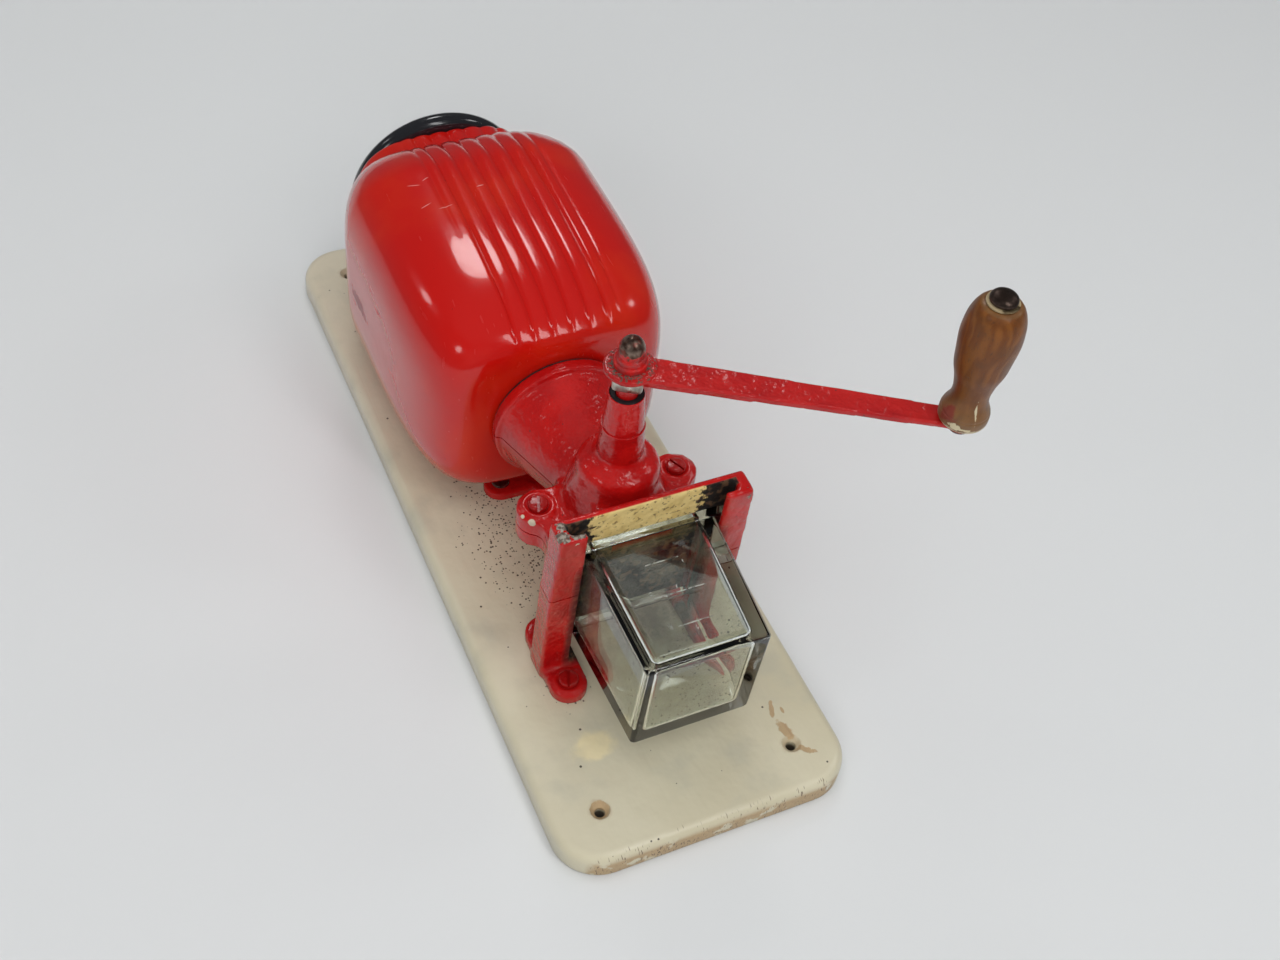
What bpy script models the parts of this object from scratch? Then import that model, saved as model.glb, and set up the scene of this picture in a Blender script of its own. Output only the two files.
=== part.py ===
"""Wall mill with a ribbed hopper, a hand crank and a glass catcher, on a painted board.

It lies on its back: +Z points out of the board, +Y up the wall towards the hopper, +X to the right.
The origin is the centre of the board's back face. All lengths are in metres.
"""
from math import atan2, cos, pi, radians, sin, sqrt, tan

import bmesh
import bpy
from mathutils import Matrix, Vector

# Gaps between pieces, and how far a cutter or a joined solid runs past a face
FIT = 0.0003
RUN = 0.0006
OVERRUN = 0.002

# Board
BOARD_WIDTH = 0.130
BOARD_LENGTH = 0.380
BOARD_THICKNESS = 0.012
BOARD_CORNER_RADIUS = 0.020
BOARD_EDGE_ROUND = 0.0045
BOARD_HOLE_FROM_SIDE = 0.0215
BOARD_HOLE_FROM_END = 0.022
BOARD_HOLE_RADIUS = 0.0022
BOARD_COUNTERSINK = 0.002

# Castings: they meet on a parting plane that holds the axis of the funnel and the hopper
STANDOFF = 0.057
SHAFT_FROM_MIDDLE = 0.068
CASTING_WALL = 0.003

# Funnel
FUNNEL_REACH = 0.0592
FLANGE_WIDTH = 0.0074
FLANGE_THICKNESS = 0.0057
FLANGE_EDGE_ROUND = 0.001
FUNNEL_MOUTH_RADIUS = 0.0242
FUNNEL_MOUTH_WALL = 0.0053
FUNNEL_THROAT_RADIUS = 0.0155

# Hub round the burrs, with its boss and screw lugs
OUTER_BURR_RADIUS = 0.0168
HUB_WALL = 0.0042
HUB_FRONT = 0.0345
HUB_SHOULDER = 0.007
HUB_SIDE = 0.0085
HUB_CROWN_RADIUS = 0.0174
HUB_CROWN_ROUND = 0.006
HUB_DEPTH = 0.044
HUB_ROOF = 0.0175
BOSS_HEIGHT = 0.036
BOSS_ROOT_HEIGHT = 0.006
BOSS_STEP_HEIGHT = 0.0185
BOSS_STEP = 0.0003
BOSS_TAPER = 0.0014
BOSS_LOWER_TAPER = 0.0008
BOSS_WALL = 0.0012
BOSS_FLARE = 0.0016
LUG_SPREAD = 0.0312
LUG_RISE = 0.006
LUG_RADIUS = 0.0091
LUG_HEIGHT = 0.008
LUG_ROOT_RADIUS = 0.013

# Bracket that holds the catcher: plate, side walls and lips lean back together
BRACKET_LEAN = radians(4.0)
PLATE_OFFSET = 0.0282
PLATE_THICKNESS = 0.0032
PLATE_TOP = 0.040
ARM_WALL = 0.0045
ARM_SPREAD = 0.0015
LIP_THICKNESS = 0.0032
LIP_PLAY = 0.0007
RIM_PLAY = 0.002
NECK_HALF = 0.0205
NECK_BACK = 0.030
NECK_FRONT = 0.0192
NECK_SIDE = 0.009
NECK_FRONT_HALF = 0.0162
CHUTE_WIDTH = 0.028
CHUTE_HEIGHT = 0.009

# Feet
FOOT_RADIUS = 0.0082
FOOT_HEIGHT = 0.005
FOOT_TOE = 0.0133
FOOT_HEEL = 0.0142
UPPER_FOOT_WIDTH = 0.058
UPPER_FOOT_LENGTH = 0.016
UPPER_FOOT_HEIGHT = 0.004
UPPER_FOOT_PAST_FLANGE = 0.0128
WEB_THICKNESS = 0.007

# Screws
SCREW_RADIUS = 0.0019
SCREW_HEAD_RADIUS = 0.0042
SCREW_HEAD_HEIGHT = 0.0022
SCREW_HEAD_ROUND = 0.0009
SLOT_WIDTH = 0.0011
SLOT_DEPTH = 0.0009
LUG_SCREW_LENGTH = 0.0152
BOARD_SCREW_BITE = 0.009
UPPER_SCREW_HEAD_HEIGHT = 0.0011
SMALL_SCREW_RADIUS = 0.0014
SMALL_SCREW_HEAD_RADIUS = 0.0025
SMALL_SCREW_HEAD_HEIGHT = 0.0015
SMALL_SCREW_BITE = 0.0042
LEFT_SLOT_ANGLE = radians(70)
RIGHT_SLOT_ANGLE = radians(115)

# Hopper: it swells from a seat, runs straight and closes over a shoulder to a neck
GASKET = 0.001
HOPPER_TO_BOARD = 0.002
HOPPER_HALF_WIDTH = 0.0605
HOPPER_SQUARENESS = 4.2
HOPPER_WALL = 0.0032
HOPPER_SEAT = 0.56
HOPPER_BELLY_LENGTH = 0.0885
HOPPER_BELLY_CURVE = 3.2
HOPPER_STRAIGHT_LENGTH = 0.022
HOPPER_SHOULDER_LENGTH = 0.035
HOPPER_SHOULDER_CURVE = 1.6
HOPPER_NECK = 0.71
NECK_LENGTH = 0.0085
NECK_SQUARENESS = 3.2
NECK_EDGE_ROUND = 0.002
RIB_COUNT = 7
RIB_PITCH = 0.00845
RIB_DEPTH = 0.0019
RIB_ROUNDNESS = 0.7
RIB_FADE_START = 0.006
RIB_FADE_END = 0.020
RIB_FIELD = 0.79
CLAMP_THICKNESS = 0.0025

# Lid
LID_RADIUS = 0.0446
LID_EDGE = 0.0095
LID_RISE = 0.0085
LID_WALL = 0.003
LID_EDGE_TUCK = 0.0025
LID_SPIGOT_RADIUS = 0.0339
LID_SPIGOT = 0.009
LID_SPIGOT_WALL = 0.0025

# Spindle and burrs
SPINDLE_RADIUS = 0.0035
BUSH_WALL = 0.0018
REAR_BUSH = 0.0085
BUSH_SEAT = 0.0027
THRUST_PAD = 0.0018
WORM_RADIUS = 0.012
WORM_PITCH = 0.012
WORM_SLEEVE = 0.0022
WORM_FLIGHT = 0.0024
BURR_LENGTH = 0.016
BURR_GAP = 0.0006
BURR_EXIT_WALL = 0.0032
BURR_FROM_ROOF = 0.0067
BURR_TAPER = 0.30
BURR_TEETH = 10
BURR_TOOTH_DEPTH = 0.0016
BURR_LAP = 0.003
BURR_TWIST = radians(24)
SPRING_WIRE = 0.0012
SPRING_TURNS = 2.5
PIN_RADIUS = 0.0011
PIN_FROM_END = 0.0026
DUST_RING = 0.0036
DUST_RING_WALL = 0.0019
COLLAR_WALL = 0.0006

# Crank and handle
CRANK_GAP = 0.0105
WASHER_SIZE = 0.012
WASHER_CORNER_RADIUS = 0.002
WASHER_THICKNESS = 0.0048
CRANK_LENGTH = 0.1262
CRANK_REST_ANGLE = radians(-31.35)
CRANK_EYE_RADIUS = 0.0108
CRANK_EYE_HEIGHT = 0.0044
CRANK_EYE_ROUND = 0.0008
CRANK_THICKNESS = 0.0034
CRANK_WIDTH = 0.0138
CRANK_TIP_WIDTH = 0.0098
CRANK_TIP_RADIUS = 0.0061
SQUARE_SIZE = 0.0062
THREAD_RADIUS = 0.0033
THREAD_LENGTH = 0.009
NUT_RADIUS = 0.0053
NUT_FOOT_RADIUS = 0.007
NUT_FOOT_HEIGHT = 0.003
NUT_HEIGHT = 0.0137
RIVET_RADIUS = 0.0026
RIVET_HEAD_RADIUS = 0.0053
RIVET_HEAD_HEIGHT = 0.0032
RIVET_TAIL_RADIUS = 0.0042
RIVET_TAIL_HEIGHT = 0.0013
GRIP_LENGTH = 0.0573
GRIP_BASE_RADIUS = 0.0095
GRIP_BASE_HEIGHT = 0.005
GRIP_NECK_RADIUS = 0.0073
GRIP_NECK_HEIGHT = 0.0135
GRIP_BELLY_RADIUS = 0.0115
GRIP_BELLY_HEIGHT = 0.0417
GRIP_TOP_RADIUS = 0.0074
GRIP_WASHER = 0.0008
GRIP_WASHER_RADIUS = 0.0062

# Glass catcher
GLASS_RIM_HALF = 0.034
GLASS_RIM_THICKNESS = 0.004
GLASS_RIM_STEP = 0.0007
GLASS_MOUTH_HALF = 0.0288
GLASS_BOTTOM_HALF = 0.0252
GLASS_DEPTH = 0.061
GLASS_ABOVE = 0.024
GLASS_BELOW = 0.036
GLASS_TAPER = 0.0015
GLASS_WALL = 0.0052
GLASS_CORNER = 0.002

# Places that follow from the sizes
BOARD_TOP = BOARD_THICKNESS
GROUND = BOARD_TOP + FIT
PARTING = BOARD_TOP + STANDOFF
SHAFT_Y = -SHAFT_FROM_MIDDLE
SHAFT = Vector((0, SHAFT_Y, 0))
FLANGE_Y = SHAFT_Y + FUNNEL_REACH
FLANGE_RADIUS = FUNNEL_MOUTH_RADIUS + FLANGE_WIDTH
CHAMBER_RADIUS = OUTER_BURR_RADIUS + FIT
HUB_RADIUS = CHAMBER_RADIUS + HUB_WALL
HUB_TOP = PARTING + HUB_FRONT
ROOF = HUB_TOP - HUB_ROOF
HUB_BACK = PARTING - HUB_DEPTH
CHAMBER_BACK = HUB_BACK + HUB_WALL
BURR_TOP = ROOF - BURR_FROM_ROOF
BURR_LOW = BURR_TOP - BURR_LENGTH
CONE_LOW = BURR_LOW - BURR_LAP
PIN_Z = CONE_LOW + PIN_FROM_END
BUSH_BORE = SPINDLE_RADIUS + FIT
BUSH_RADIUS = BUSH_BORE + BUSH_WALL
BUSH_FOOT = CHAMBER_BACK - BUSH_SEAT
PAD_TOP = BUSH_FOOT + FIT + THRUST_PAD
BOSS_BORE = BUSH_RADIUS + FIT
BOSS_RADIUS = BOSS_BORE + BOSS_WALL
BOSS_TOP = HUB_TOP + BOSS_HEIGHT
BOSS_MOUTH = BOSS_TOP - DUST_RING
DUST_RING_RADIUS = BUSH_BORE + COLLAR_WALL + FIT + DUST_RING_WALL
RIM_CHANNEL = GLASS_RIM_HALF + RIM_PLAY
ARM_HALF = RIM_CHANNEL + ARM_WALL
LIP_OPENING = GLASS_MOUTH_HALF + LIP_PLAY
CHANNEL = GLASS_RIM_THICKNESS + FIT + RUN
BRACKET_FRONT = CHANNEL + LIP_THICKNESS
PLATE_Y = SHAFT_Y - PLATE_OFFSET
PLATE_LOW = -GLASS_BELOW - GLASS_TAPER
FOOT_SPREAD = ARM_HALF + ARM_SPREAD - FOOT_RADIUS - FIT
UPPER_FOOT_Y = FLANGE_Y + UPPER_FOOT_PAST_FLANGE
HOPPER_HALF_DEPTH = STANDOFF - HOPPER_TO_BOARD
HOPPER_Y = FLANGE_Y + GASKET + 2 * FIT
HOPPER_RISE = HOPPER_BELLY_LENGTH + HOPPER_STRAIGHT_LENGTH
SHOULDER_TOP = HOPPER_RISE + HOPPER_SHOULDER_LENGTH
HOPPER_HEIGHT = SHOULDER_TOP + NECK_LENGTH
CLAMP_LOW = HOPPER_WALL + 2 * FIT
LID_Y = HOPPER_Y + HOPPER_HEIGHT + FIT
WASHER_LOW = BOSS_TOP + CRANK_GAP - FIT - WASHER_THICKNESS
CRANK_Z = BOSS_TOP + CRANK_GAP
EYE_TOP = CRANK_Z + CRANK_EYE_HEIGHT
THREAD_TOP = EYE_TOP + THREAD_LENGTH
HANDLE_X = CRANK_LENGTH * cos(CRANK_REST_ANGLE)
HANDLE_Y = SHAFT_Y + CRANK_LENGTH * sin(CRANK_REST_ANGLE)
GRIP_LOW = CRANK_Z + CRANK_THICKNESS + GRIP_WASHER + 2 * FIT
GRIP_HIGH = GRIP_LOW + GRIP_LENGTH

# How finely round shapes are stepped
ROUND = 28
SMALL_ROUND = 20
HOLE_ROUND = 12
RIB_STEPS = 4
HOPPER_BACK_STEPS = 20


def clear_scene():
    """Remove every object, so that the script can be run again in the same file."""
    for item in list(bpy.data.objects):
        bpy.data.objects.remove(item, do_unlink=True)


def material(name, colour, roughness, metallic=0.0, transmission=0.0):
    """A Principled material with one colour and finish."""
    made = bpy.data.materials.new(name)
    made.use_nodes = True
    shader = made.node_tree.nodes["Principled BSDF"]
    shader.inputs["Base Color"].default_value = (*colour, 1.0)
    shader.inputs["Roughness"].default_value = roughness
    shader.inputs["Metallic"].default_value = metallic
    shader.inputs["Transmission Weight"].default_value = transmission
    return made


def finish_mesh(bm):
    """Merge doubles and turn every face outwards."""
    bmesh.ops.remove_doubles(bm, verts=bm.verts, dist=0.00001)
    bmesh.ops.recalc_face_normals(bm, faces=bm.faces)
    return bm


def node(name, bm, look, pivot=None):
    """Make one named object of a mesh that is given in world coordinates."""
    mesh = bpy.data.meshes.new(name)
    bm.to_mesh(mesh)
    bm.free()
    mesh.shade_smooth()
    mesh.set_sharp_from_angle(angle=radians(35))
    mesh.materials.append(look)
    made = bpy.data.objects.new(name, mesh)
    bpy.context.collection.objects.link(made)
    if pivot is not None:
        bpy.context.view_layer.update()
        mesh.transform(Matrix.Translation(-pivot.matrix_world.translation))
        made.parent = pivot
    return made


def empty(name, place, parent=None):
    """A pivot on a joint's axis, at a place in world coordinates."""
    made = bpy.data.objects.new(name, None)
    bpy.context.collection.objects.link(made)
    made.location = place
    if parent is not None:
        bpy.context.view_layer.update()
        made.parent = parent
        made.location = Vector(place) - parent.matrix_world.translation
    bpy.context.view_layer.update()
    return made


def combine(base, tool, operation):
    """Join or cut two meshes with a Boolean, and return the result as a mesh."""
    objects = []
    for bm in (base, tool):
        mesh = bpy.data.meshes.new("boolean_input")
        finish_mesh(bm).to_mesh(mesh)
        bm.free()
        held = bpy.data.objects.new("boolean_input", mesh)
        bpy.context.collection.objects.link(held)
        objects.append(held)
    modifier = objects[0].modifiers.new("Boolean", "BOOLEAN")
    modifier.solver = "EXACT"
    modifier.operation = operation
    modifier.object = objects[1]
    bpy.context.view_layer.update()
    depsgraph = bpy.context.evaluated_depsgraph_get()
    result = bmesh.new()
    result.from_mesh(objects[0].evaluated_get(depsgraph).to_mesh())
    for held in objects:
        mesh = held.data
        bpy.data.objects.remove(held)
        bpy.data.meshes.remove(mesh)
    return finish_mesh(result)


def join(first, *others):
    """The union of meshes that overlap."""
    for other in others:
        first = combine(first, other, "UNION")
    return first


def cut(first, *tools):
    """The first mesh with every tool cut away."""
    for tool in tools:
        first = combine(first, tool, "DIFFERENCE")
    return first


def turned(profile, steps=ROUND, closed=False):
    """A solid of revolution round Z from (radius, height) points."""
    bm = bmesh.new()
    points = [bm.verts.new((radius, 0, height)) for radius, height in profile]
    pairs = list(zip(points, points[1:]))
    if closed:
        pairs.append((points[-1], points[0]))
    edges = [bm.edges.new(pair) for pair in pairs]
    bmesh.ops.spin(bm, geom=points + edges, cent=(0, 0, 0), axis=(0, 0, 1), angle=2 * pi,
                   steps=steps, use_merge=True)
    return finish_mesh(bm)


def ring(inner, outer, low, high, steps=SMALL_ROUND):
    """A plain ring round Z."""
    return turned([(inner, low), (outer, low), (outer, high), (inner, high)], steps, closed=True)


def disc(radius, low, high, steps=ROUND):
    """A plain cylinder round Z."""
    return turned([(0, low), (radius, low), (radius, high), (0, high)], steps)


def block(low, high):
    """A box between two corners."""
    bm = bmesh.new()
    bmesh.ops.create_cube(bm, size=1)
    size = Vector(high) - Vector(low)
    bmesh.ops.scale(bm, verts=bm.verts, vec=size)
    bmesh.ops.translate(bm, verts=bm.verts, vec=(Vector(high) + Vector(low)) / 2)
    return bm


def moved(bm, matrix):
    """The mesh after a move or turn."""
    bmesh.ops.transform(bm, matrix=matrix, verts=bm.verts)
    return bm


def shifted(bm, x, y, z=0.0):
    """The mesh moved to a place."""
    return moved(bm, Matrix.Translation((x, y, z)))


def on_shaft(bm):
    """A mesh made round Z, put on the spindle's axis."""
    return moved(bm, Matrix.Translation(SHAFT))


def along_y(bm):
    """A mesh made round Z, laid along +Y on the axis of the funnel and the hopper."""
    return moved(bm, Matrix.Translation((0, 0, PARTING)) @ Matrix.Rotation(-pi / 2, 4, "X"))


def leaning(bm):
    """A mesh made in the bracket's own frame: plate face at y = 0, parting plane at z = 0."""
    return moved(bm, Matrix.Translation((0, PLATE_Y, PARTING)) @ Matrix.Rotation(BRACKET_LEAN, 4, "X"))


def arc(centre, radius, start, end, steps):
    """Points on an arc, from the start angle to the end angle."""
    angles = [start + (end - start) * step / steps for step in range(steps + 1)]
    return [(centre[0] + radius * cos(a), centre[1] + radius * sin(a)) for a in angles]


def rounded_rectangle(half_x, half_y, radius, steps):
    """The outline of a rectangle with round corners."""
    outline = []
    for corner, (side_x, side_y) in enumerate([(1, 1), (-1, 1), (-1, -1), (1, -1)]):
        centre = (side_x * (half_x - radius), side_y * (half_y - radius))
        outline += arc(centre, radius, corner * pi / 2, (corner + 1) * pi / 2, steps)
    return outline


def prism(outline, low, high):
    """An outline in the XY plane, extruded from one height to another."""
    bm = bmesh.new()
    face = bm.faces.new([bm.verts.new((x, y, low)) for x, y in outline])
    grown = bmesh.ops.extrude_face_region(bm, geom=[face])["geom"]
    raised = [item for item in grown if isinstance(item, bmesh.types.BMVert)]
    bmesh.ops.translate(bm, verts=raised, vec=(0, 0, high - low))
    return finish_mesh(bm)


def round_level(bm, height, width, segments):
    """Round the edges of the flat face at one height."""
    edges = [edge for edge in bm.edges
             if all(abs(vert.co.z - height) < FIT / 10 for vert in edge.verts)]
    bmesh.ops.bevel(bm, geom=edges, offset=width, offset_type="OFFSET", affect="EDGES",
                    segments=segments, profile=0.5, material=-1)
    return bm


def between(first, second):
    """The convex form that wraps two meshes."""
    bm = bmesh.new()
    for mesh in (first, second):
        for vert in mesh.verts:
            bm.verts.new(vert.co)
        mesh.free()
    result = bmesh.ops.convex_hull(bm, input=bm.verts)
    inner = [item for item in result["geom_interior"] if isinstance(item, bmesh.types.BMVert)]
    bmesh.ops.delete(bm, geom=inner, context="VERTS")
    return finish_mesh(bm)


def skin(rings):
    """A skin through rings of equal length, each extruded from the one before."""
    bm = bmesh.new()
    index = bm.verts.layers.int.new("index")
    verts = [bm.verts.new(point) for point in rings[0]]
    for number, vert in enumerate(verts):
        vert[index] = number
    edges = [bm.edges.new((vert, verts[(number + 1) % len(verts)])) for number, vert in enumerate(verts)]
    for points in rings[1:]:
        grown = bmesh.ops.extrude_edge_only(bm, edges=edges)["geom"]
        fresh = {item for item in grown if isinstance(item, bmesh.types.BMVert)}
        edges = [item for item in grown if isinstance(item, bmesh.types.BMEdge) and set(item.verts) <= fresh]
        for vert in fresh:
            vert.co = points[vert[index]]
    return finish_mesh(bm)


def capped(rings):
    """A skin through rings, with its first and last ring filled."""
    bm = skin(rings)
    loose = [edge for edge in bm.edges if len(edge.link_faces) == 1]
    bmesh.ops.holes_fill(bm, edges=loose, sides=0)
    return finish_mesh(bm)


def slotted_screw(radius, head_radius, head_height, length):
    """A slotted screw along Z: its head sits on z = 0 and its shank hangs below."""
    edge = min(SCREW_HEAD_ROUND, head_height * 0.6)
    dome = arc((head_radius - edge, head_height - edge), edge, 0, pi / 2, 2)
    body = turned([(0, -length), (radius, -length), (radius, 0), (head_radius, 0)] + dome +
                  [(0, head_height)], HOLE_ROUND)
    depth = min(SLOT_DEPTH, head_height / 2)
    reach = head_radius + OVERRUN
    slot = block((-reach, -SLOT_WIDTH / 2, head_height - depth), (reach, SLOT_WIDTH / 2, head_height + OVERRUN))
    return cut(body, slot)


def board(look):
    """The board with its rounded front edge, four countersunk holes and the pilot holes for the feet."""
    outline = rounded_rectangle(BOARD_WIDTH / 2, BOARD_LENGTH / 2, BOARD_CORNER_RADIUS, 4)
    slab = round_level(prism(outline, 0, BOARD_TOP), BOARD_TOP, BOARD_EDGE_ROUND, 2)
    hole_profile = [(0, -OVERRUN), (BOARD_HOLE_RADIUS, -OVERRUN),
                    (BOARD_HOLE_RADIUS, BOARD_TOP - BOARD_COUNTERSINK),
                    (BOARD_HOLE_RADIUS + BOARD_COUNTERSINK + FIT, BOARD_TOP + FIT), (0, BOARD_TOP + FIT)]
    for side in (-1, 1):
        for end in (-1, 1):
            x = side * (BOARD_WIDTH / 2 - BOARD_HOLE_FROM_SIDE)
            y = end * (BOARD_LENGTH / 2 - BOARD_HOLE_FROM_END)
            slab = cut(slab, shifted(turned(hole_profile, HOLE_ROUND), x, y))
    pilots = foot_screw_places() + upper_foot_screw_places()
    low = BOARD_TOP - BOARD_SCREW_BITE - FIT
    return node("board", drilled(slab, pilots, low, BOARD_TOP, SCREW_RADIUS + FIT), look)


def drilled(body, places, low, high, radius):
    """A body with one round hole at each place, which runs a little past its upper face."""
    for x, y in places:
        body = cut(body, shifted(disc(radius, low, high + OVERRUN, HOLE_ROUND), x, y))
    return body


def foot_screw_places():
    """Where the two lower feet are screwed to the board."""
    return [(side * FOOT_SPREAD, PLATE_Y - FOOT_TOE) for side in (-1, 1)]


def upper_foot_screw_places():
    """Where the upper foot is screwed to the board, under the hopper."""
    reach = (UPPER_FOOT_WIDTH - UPPER_FOOT_LENGTH) / 2
    return [(side * reach, UPPER_FOOT_Y) for side in (-1, 1)]


def lug_places():
    """The two lugs beside the hub."""
    return [(side * LUG_SPREAD, SHAFT_Y + LUG_RISE) for side in (-1, 1)]


def hopper_screw_places():
    """The four screws that hold the hopper, two in each casting, as (x, depth behind the parting plane)."""
    circle = (FUNNEL_MOUTH_RADIUS + FLANGE_RADIUS) / 2
    return [(circle * cos(a), circle * sin(a)) for a in (pi / 4 + quarter * pi / 2 for quarter in range(4))]


def half_space(front):
    """A block that holds everything on the wrong side of a casting's parting face."""
    reach = BOARD_LENGTH
    if front:
        return block((-reach, -reach, -reach), (reach, reach, PARTING + FIT / 2))
    return block((-reach, -reach, PARTING - FIT / 2), (reach, reach, reach))


def funnel():
    """The funnel outside, from the flange that carries the hopper down into the hub."""
    rim = FLANGE_EDGE_ROUND
    back = FLANGE_Y - FLANGE_THICKNESS
    throat = FUNNEL_THROAT_RADIUS + CASTING_WALL
    end = SHAFT_Y + HUB_RADIUS - HUB_WALL * 2
    profile = [(0, FLANGE_Y), (FLANGE_RADIUS - rim, FLANGE_Y), (FLANGE_RADIUS, FLANGE_Y - rim),
               (FLANGE_RADIUS, back + rim), (FLANGE_RADIUS - rim, back), (FUNNEL_MOUTH_RADIUS + FUNNEL_MOUTH_WALL, back),
               (throat, SHAFT_Y + HUB_RADIUS), (throat, end), (0, end)]
    return along_y(turned(profile))


def passage(end):
    """The way through the funnel, down to a place on the hopper's axis."""
    narrow = SHAFT_Y + HUB_RADIUS
    profile = [(0, FLANGE_Y + OVERRUN), (FUNNEL_MOUTH_RADIUS, FLANGE_Y + OVERRUN),
               (FUNNEL_MOUTH_RADIUS, FLANGE_Y - FLANGE_THICKNESS), (FUNNEL_THROAT_RADIUS, narrow)]
    if end < narrow:
        profile.append((FUNNEL_THROAT_RADIUS, end))
    return along_y(turned(profile + [(0, end)]))


def hub():
    """The hub with the boss that holds the front bush, from the closed back to the boss's mouth."""
    low_centre = (HUB_RADIUS - HUB_SHOULDER, HUB_BACK + HUB_SHOULDER)
    high_centre = (HUB_CROWN_RADIUS - HUB_CROWN_ROUND, HUB_TOP - HUB_CROWN_ROUND)
    side_z = PARTING + HUB_SIDE
    bell = [(HUB_RADIUS + (HUB_CROWN_RADIUS - HUB_RADIUS) * smooth(share), side_z + (high_centre[1] - side_z) * share)
            for share in (step / 4 for step in range(4))]
    crown = arc(high_centre, HUB_CROWN_ROUND, 0, pi / 2, 4)
    shoulders = arc(low_centre, HUB_SHOULDER, -pi / 2, 0, 3) + bell + crown
    upper = BOSS_RADIUS + BOSS_TAPER
    lower = upper + BOSS_STEP
    root = lower + BOSS_LOWER_TAPER
    step_z = HUB_TOP + BOSS_STEP_HEIGHT
    flare = [(root + BOSS_FLARE * (1 - sin(a)), HUB_TOP + BOSS_ROOT_HEIGHT * (1 - cos(a)))
             for a in (pi / 2 * step / 3 for step in range(4))]
    boss = [(lower, step_z), (upper, step_z), (BOSS_RADIUS, BOSS_TOP - FIT), (BOSS_RADIUS - FIT, BOSS_TOP)]
    return on_shaft(turned([(0, HUB_BACK)] + shoulders + flare + boss + [(0, BOSS_TOP)]))


def lug(x, y):
    """One screw lug with the web that joins it to the hub."""
    low = PARTING - LUG_HEIGHT
    high = PARTING + LUG_HEIGHT
    eye = shifted(disc(LUG_RADIUS, low, high, SMALL_ROUND), x, y)
    return between(eye, on_shaft(disc(LUG_ROOT_RADIUS, low, high, SMALL_ROUND)))


def bracket():
    """The channel that holds the catcher: a plate, side walls and lips, open below the plate."""
    low = -(STANDOFF / cos(BRACKET_LEAN) + BRACKET_FRONT * tan(BRACKET_LEAN)) - OVERRUN
    rings = []
    for z, spread in ((low, ARM_SPREAD), (0, ARM_SPREAD), (PLATE_TOP, 0)):
        outer = ARM_HALF + spread
        half = [(RIM_CHANNEL, 0), (RIM_CHANNEL, -CHANNEL), (LIP_OPENING, -CHANNEL), (LIP_OPENING, -BRACKET_FRONT),
                (outer, -BRACKET_FRONT), (outer, PLATE_THICKNESS)]
        outline = half + [(-x, y) for x, y in reversed(half)]
        rings.append([Vector((x, y, z)) for x, y in outline])
    gate_half = RIM_CHANNEL - RIM_PLAY
    gate = block((-gate_half, -OVERRUN, low - OVERRUN), (gate_half, PLATE_THICKNESS + OVERRUN, PLATE_LOW))
    return leaning(cut(capped(rings), gate))


def neck():
    """What joins the bracket's plate to the hub, with its front corners cut away."""
    half = [(NECK_HALF, -NECK_BACK), (NECK_HALF, NECK_SIDE), (NECK_FRONT_HALF, NECK_FRONT)]
    outline = half + [(-x, z) for x, z in reversed(half)]
    return leaning(moved(prism(outline, -PLATE_OFFSET, -PLATE_THICKNESS / 2), Matrix.Rotation(pi / 2, 4, "X")))


def whole_casting():
    """Funnel, hub, lugs, neck and bracket in one, before they are parted into a front and a rear half."""
    lugs = [lug(x, y) for x, y in lug_places()]
    return join(hub(), funnel(), *lugs, neck(), bracket())


def drill_flange(body, front):
    """Cut the blind holes for the hopper's screws that lie in this half."""
    for x, depth in hopper_screw_places():
        if (depth < 0) == front:
            low = FLANGE_Y - SMALL_SCREW_BITE - FIT
            hole = disc(SMALL_SCREW_RADIUS + FIT, low, FLANGE_Y + OVERRUN, HOLE_ROUND)
            body = cut(body, along_y(shifted(hole, x, depth)))
    return body


def front_casting(whole, look):
    """The front half: half a funnel, the hub with its boss, two lugs and the upper bracket."""
    chamber = on_shaft(disc(CHAMBER_RADIUS, PARTING - OVERRUN, ROOF))
    bore = on_shaft(disc(BOSS_BORE, ROOF - OVERRUN, BOSS_MOUTH + FIT, SMALL_ROUND))
    mouth = on_shaft(disc(DUST_RING_RADIUS + FIT, BOSS_MOUTH - FIT, BOSS_TOP + OVERRUN, SMALL_ROUND))
    chute = block((-CHUTE_WIDTH / 2, PLATE_Y - BRACKET_FRONT, ROOF - CHUTE_HEIGHT),
                  (CHUTE_WIDTH / 2, SHAFT_Y, ROOF - FIT))
    body = cut(whole, half_space(True), chamber, bore, mouth, chute, passage(SHAFT_Y + HUB_RADIUS))
    body = drilled(body, lug_places(), PARTING - OVERRUN, PARTING + LUG_HEIGHT, SCREW_RADIUS + FIT)
    return node("front_casting", drill_flange(body, True), look)


def lower_foot(x):
    """One pad with round ends, which runs forward from under the bracket's side wall."""
    ends = [shifted(disc(FOOT_RADIUS, GROUND - OVERRUN, BOARD_TOP + FOOT_HEIGHT, SMALL_ROUND), x, y)
            for y in (PLATE_Y - FOOT_TOE, PLATE_Y + FOOT_HEEL)]
    return between(*ends)


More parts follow.
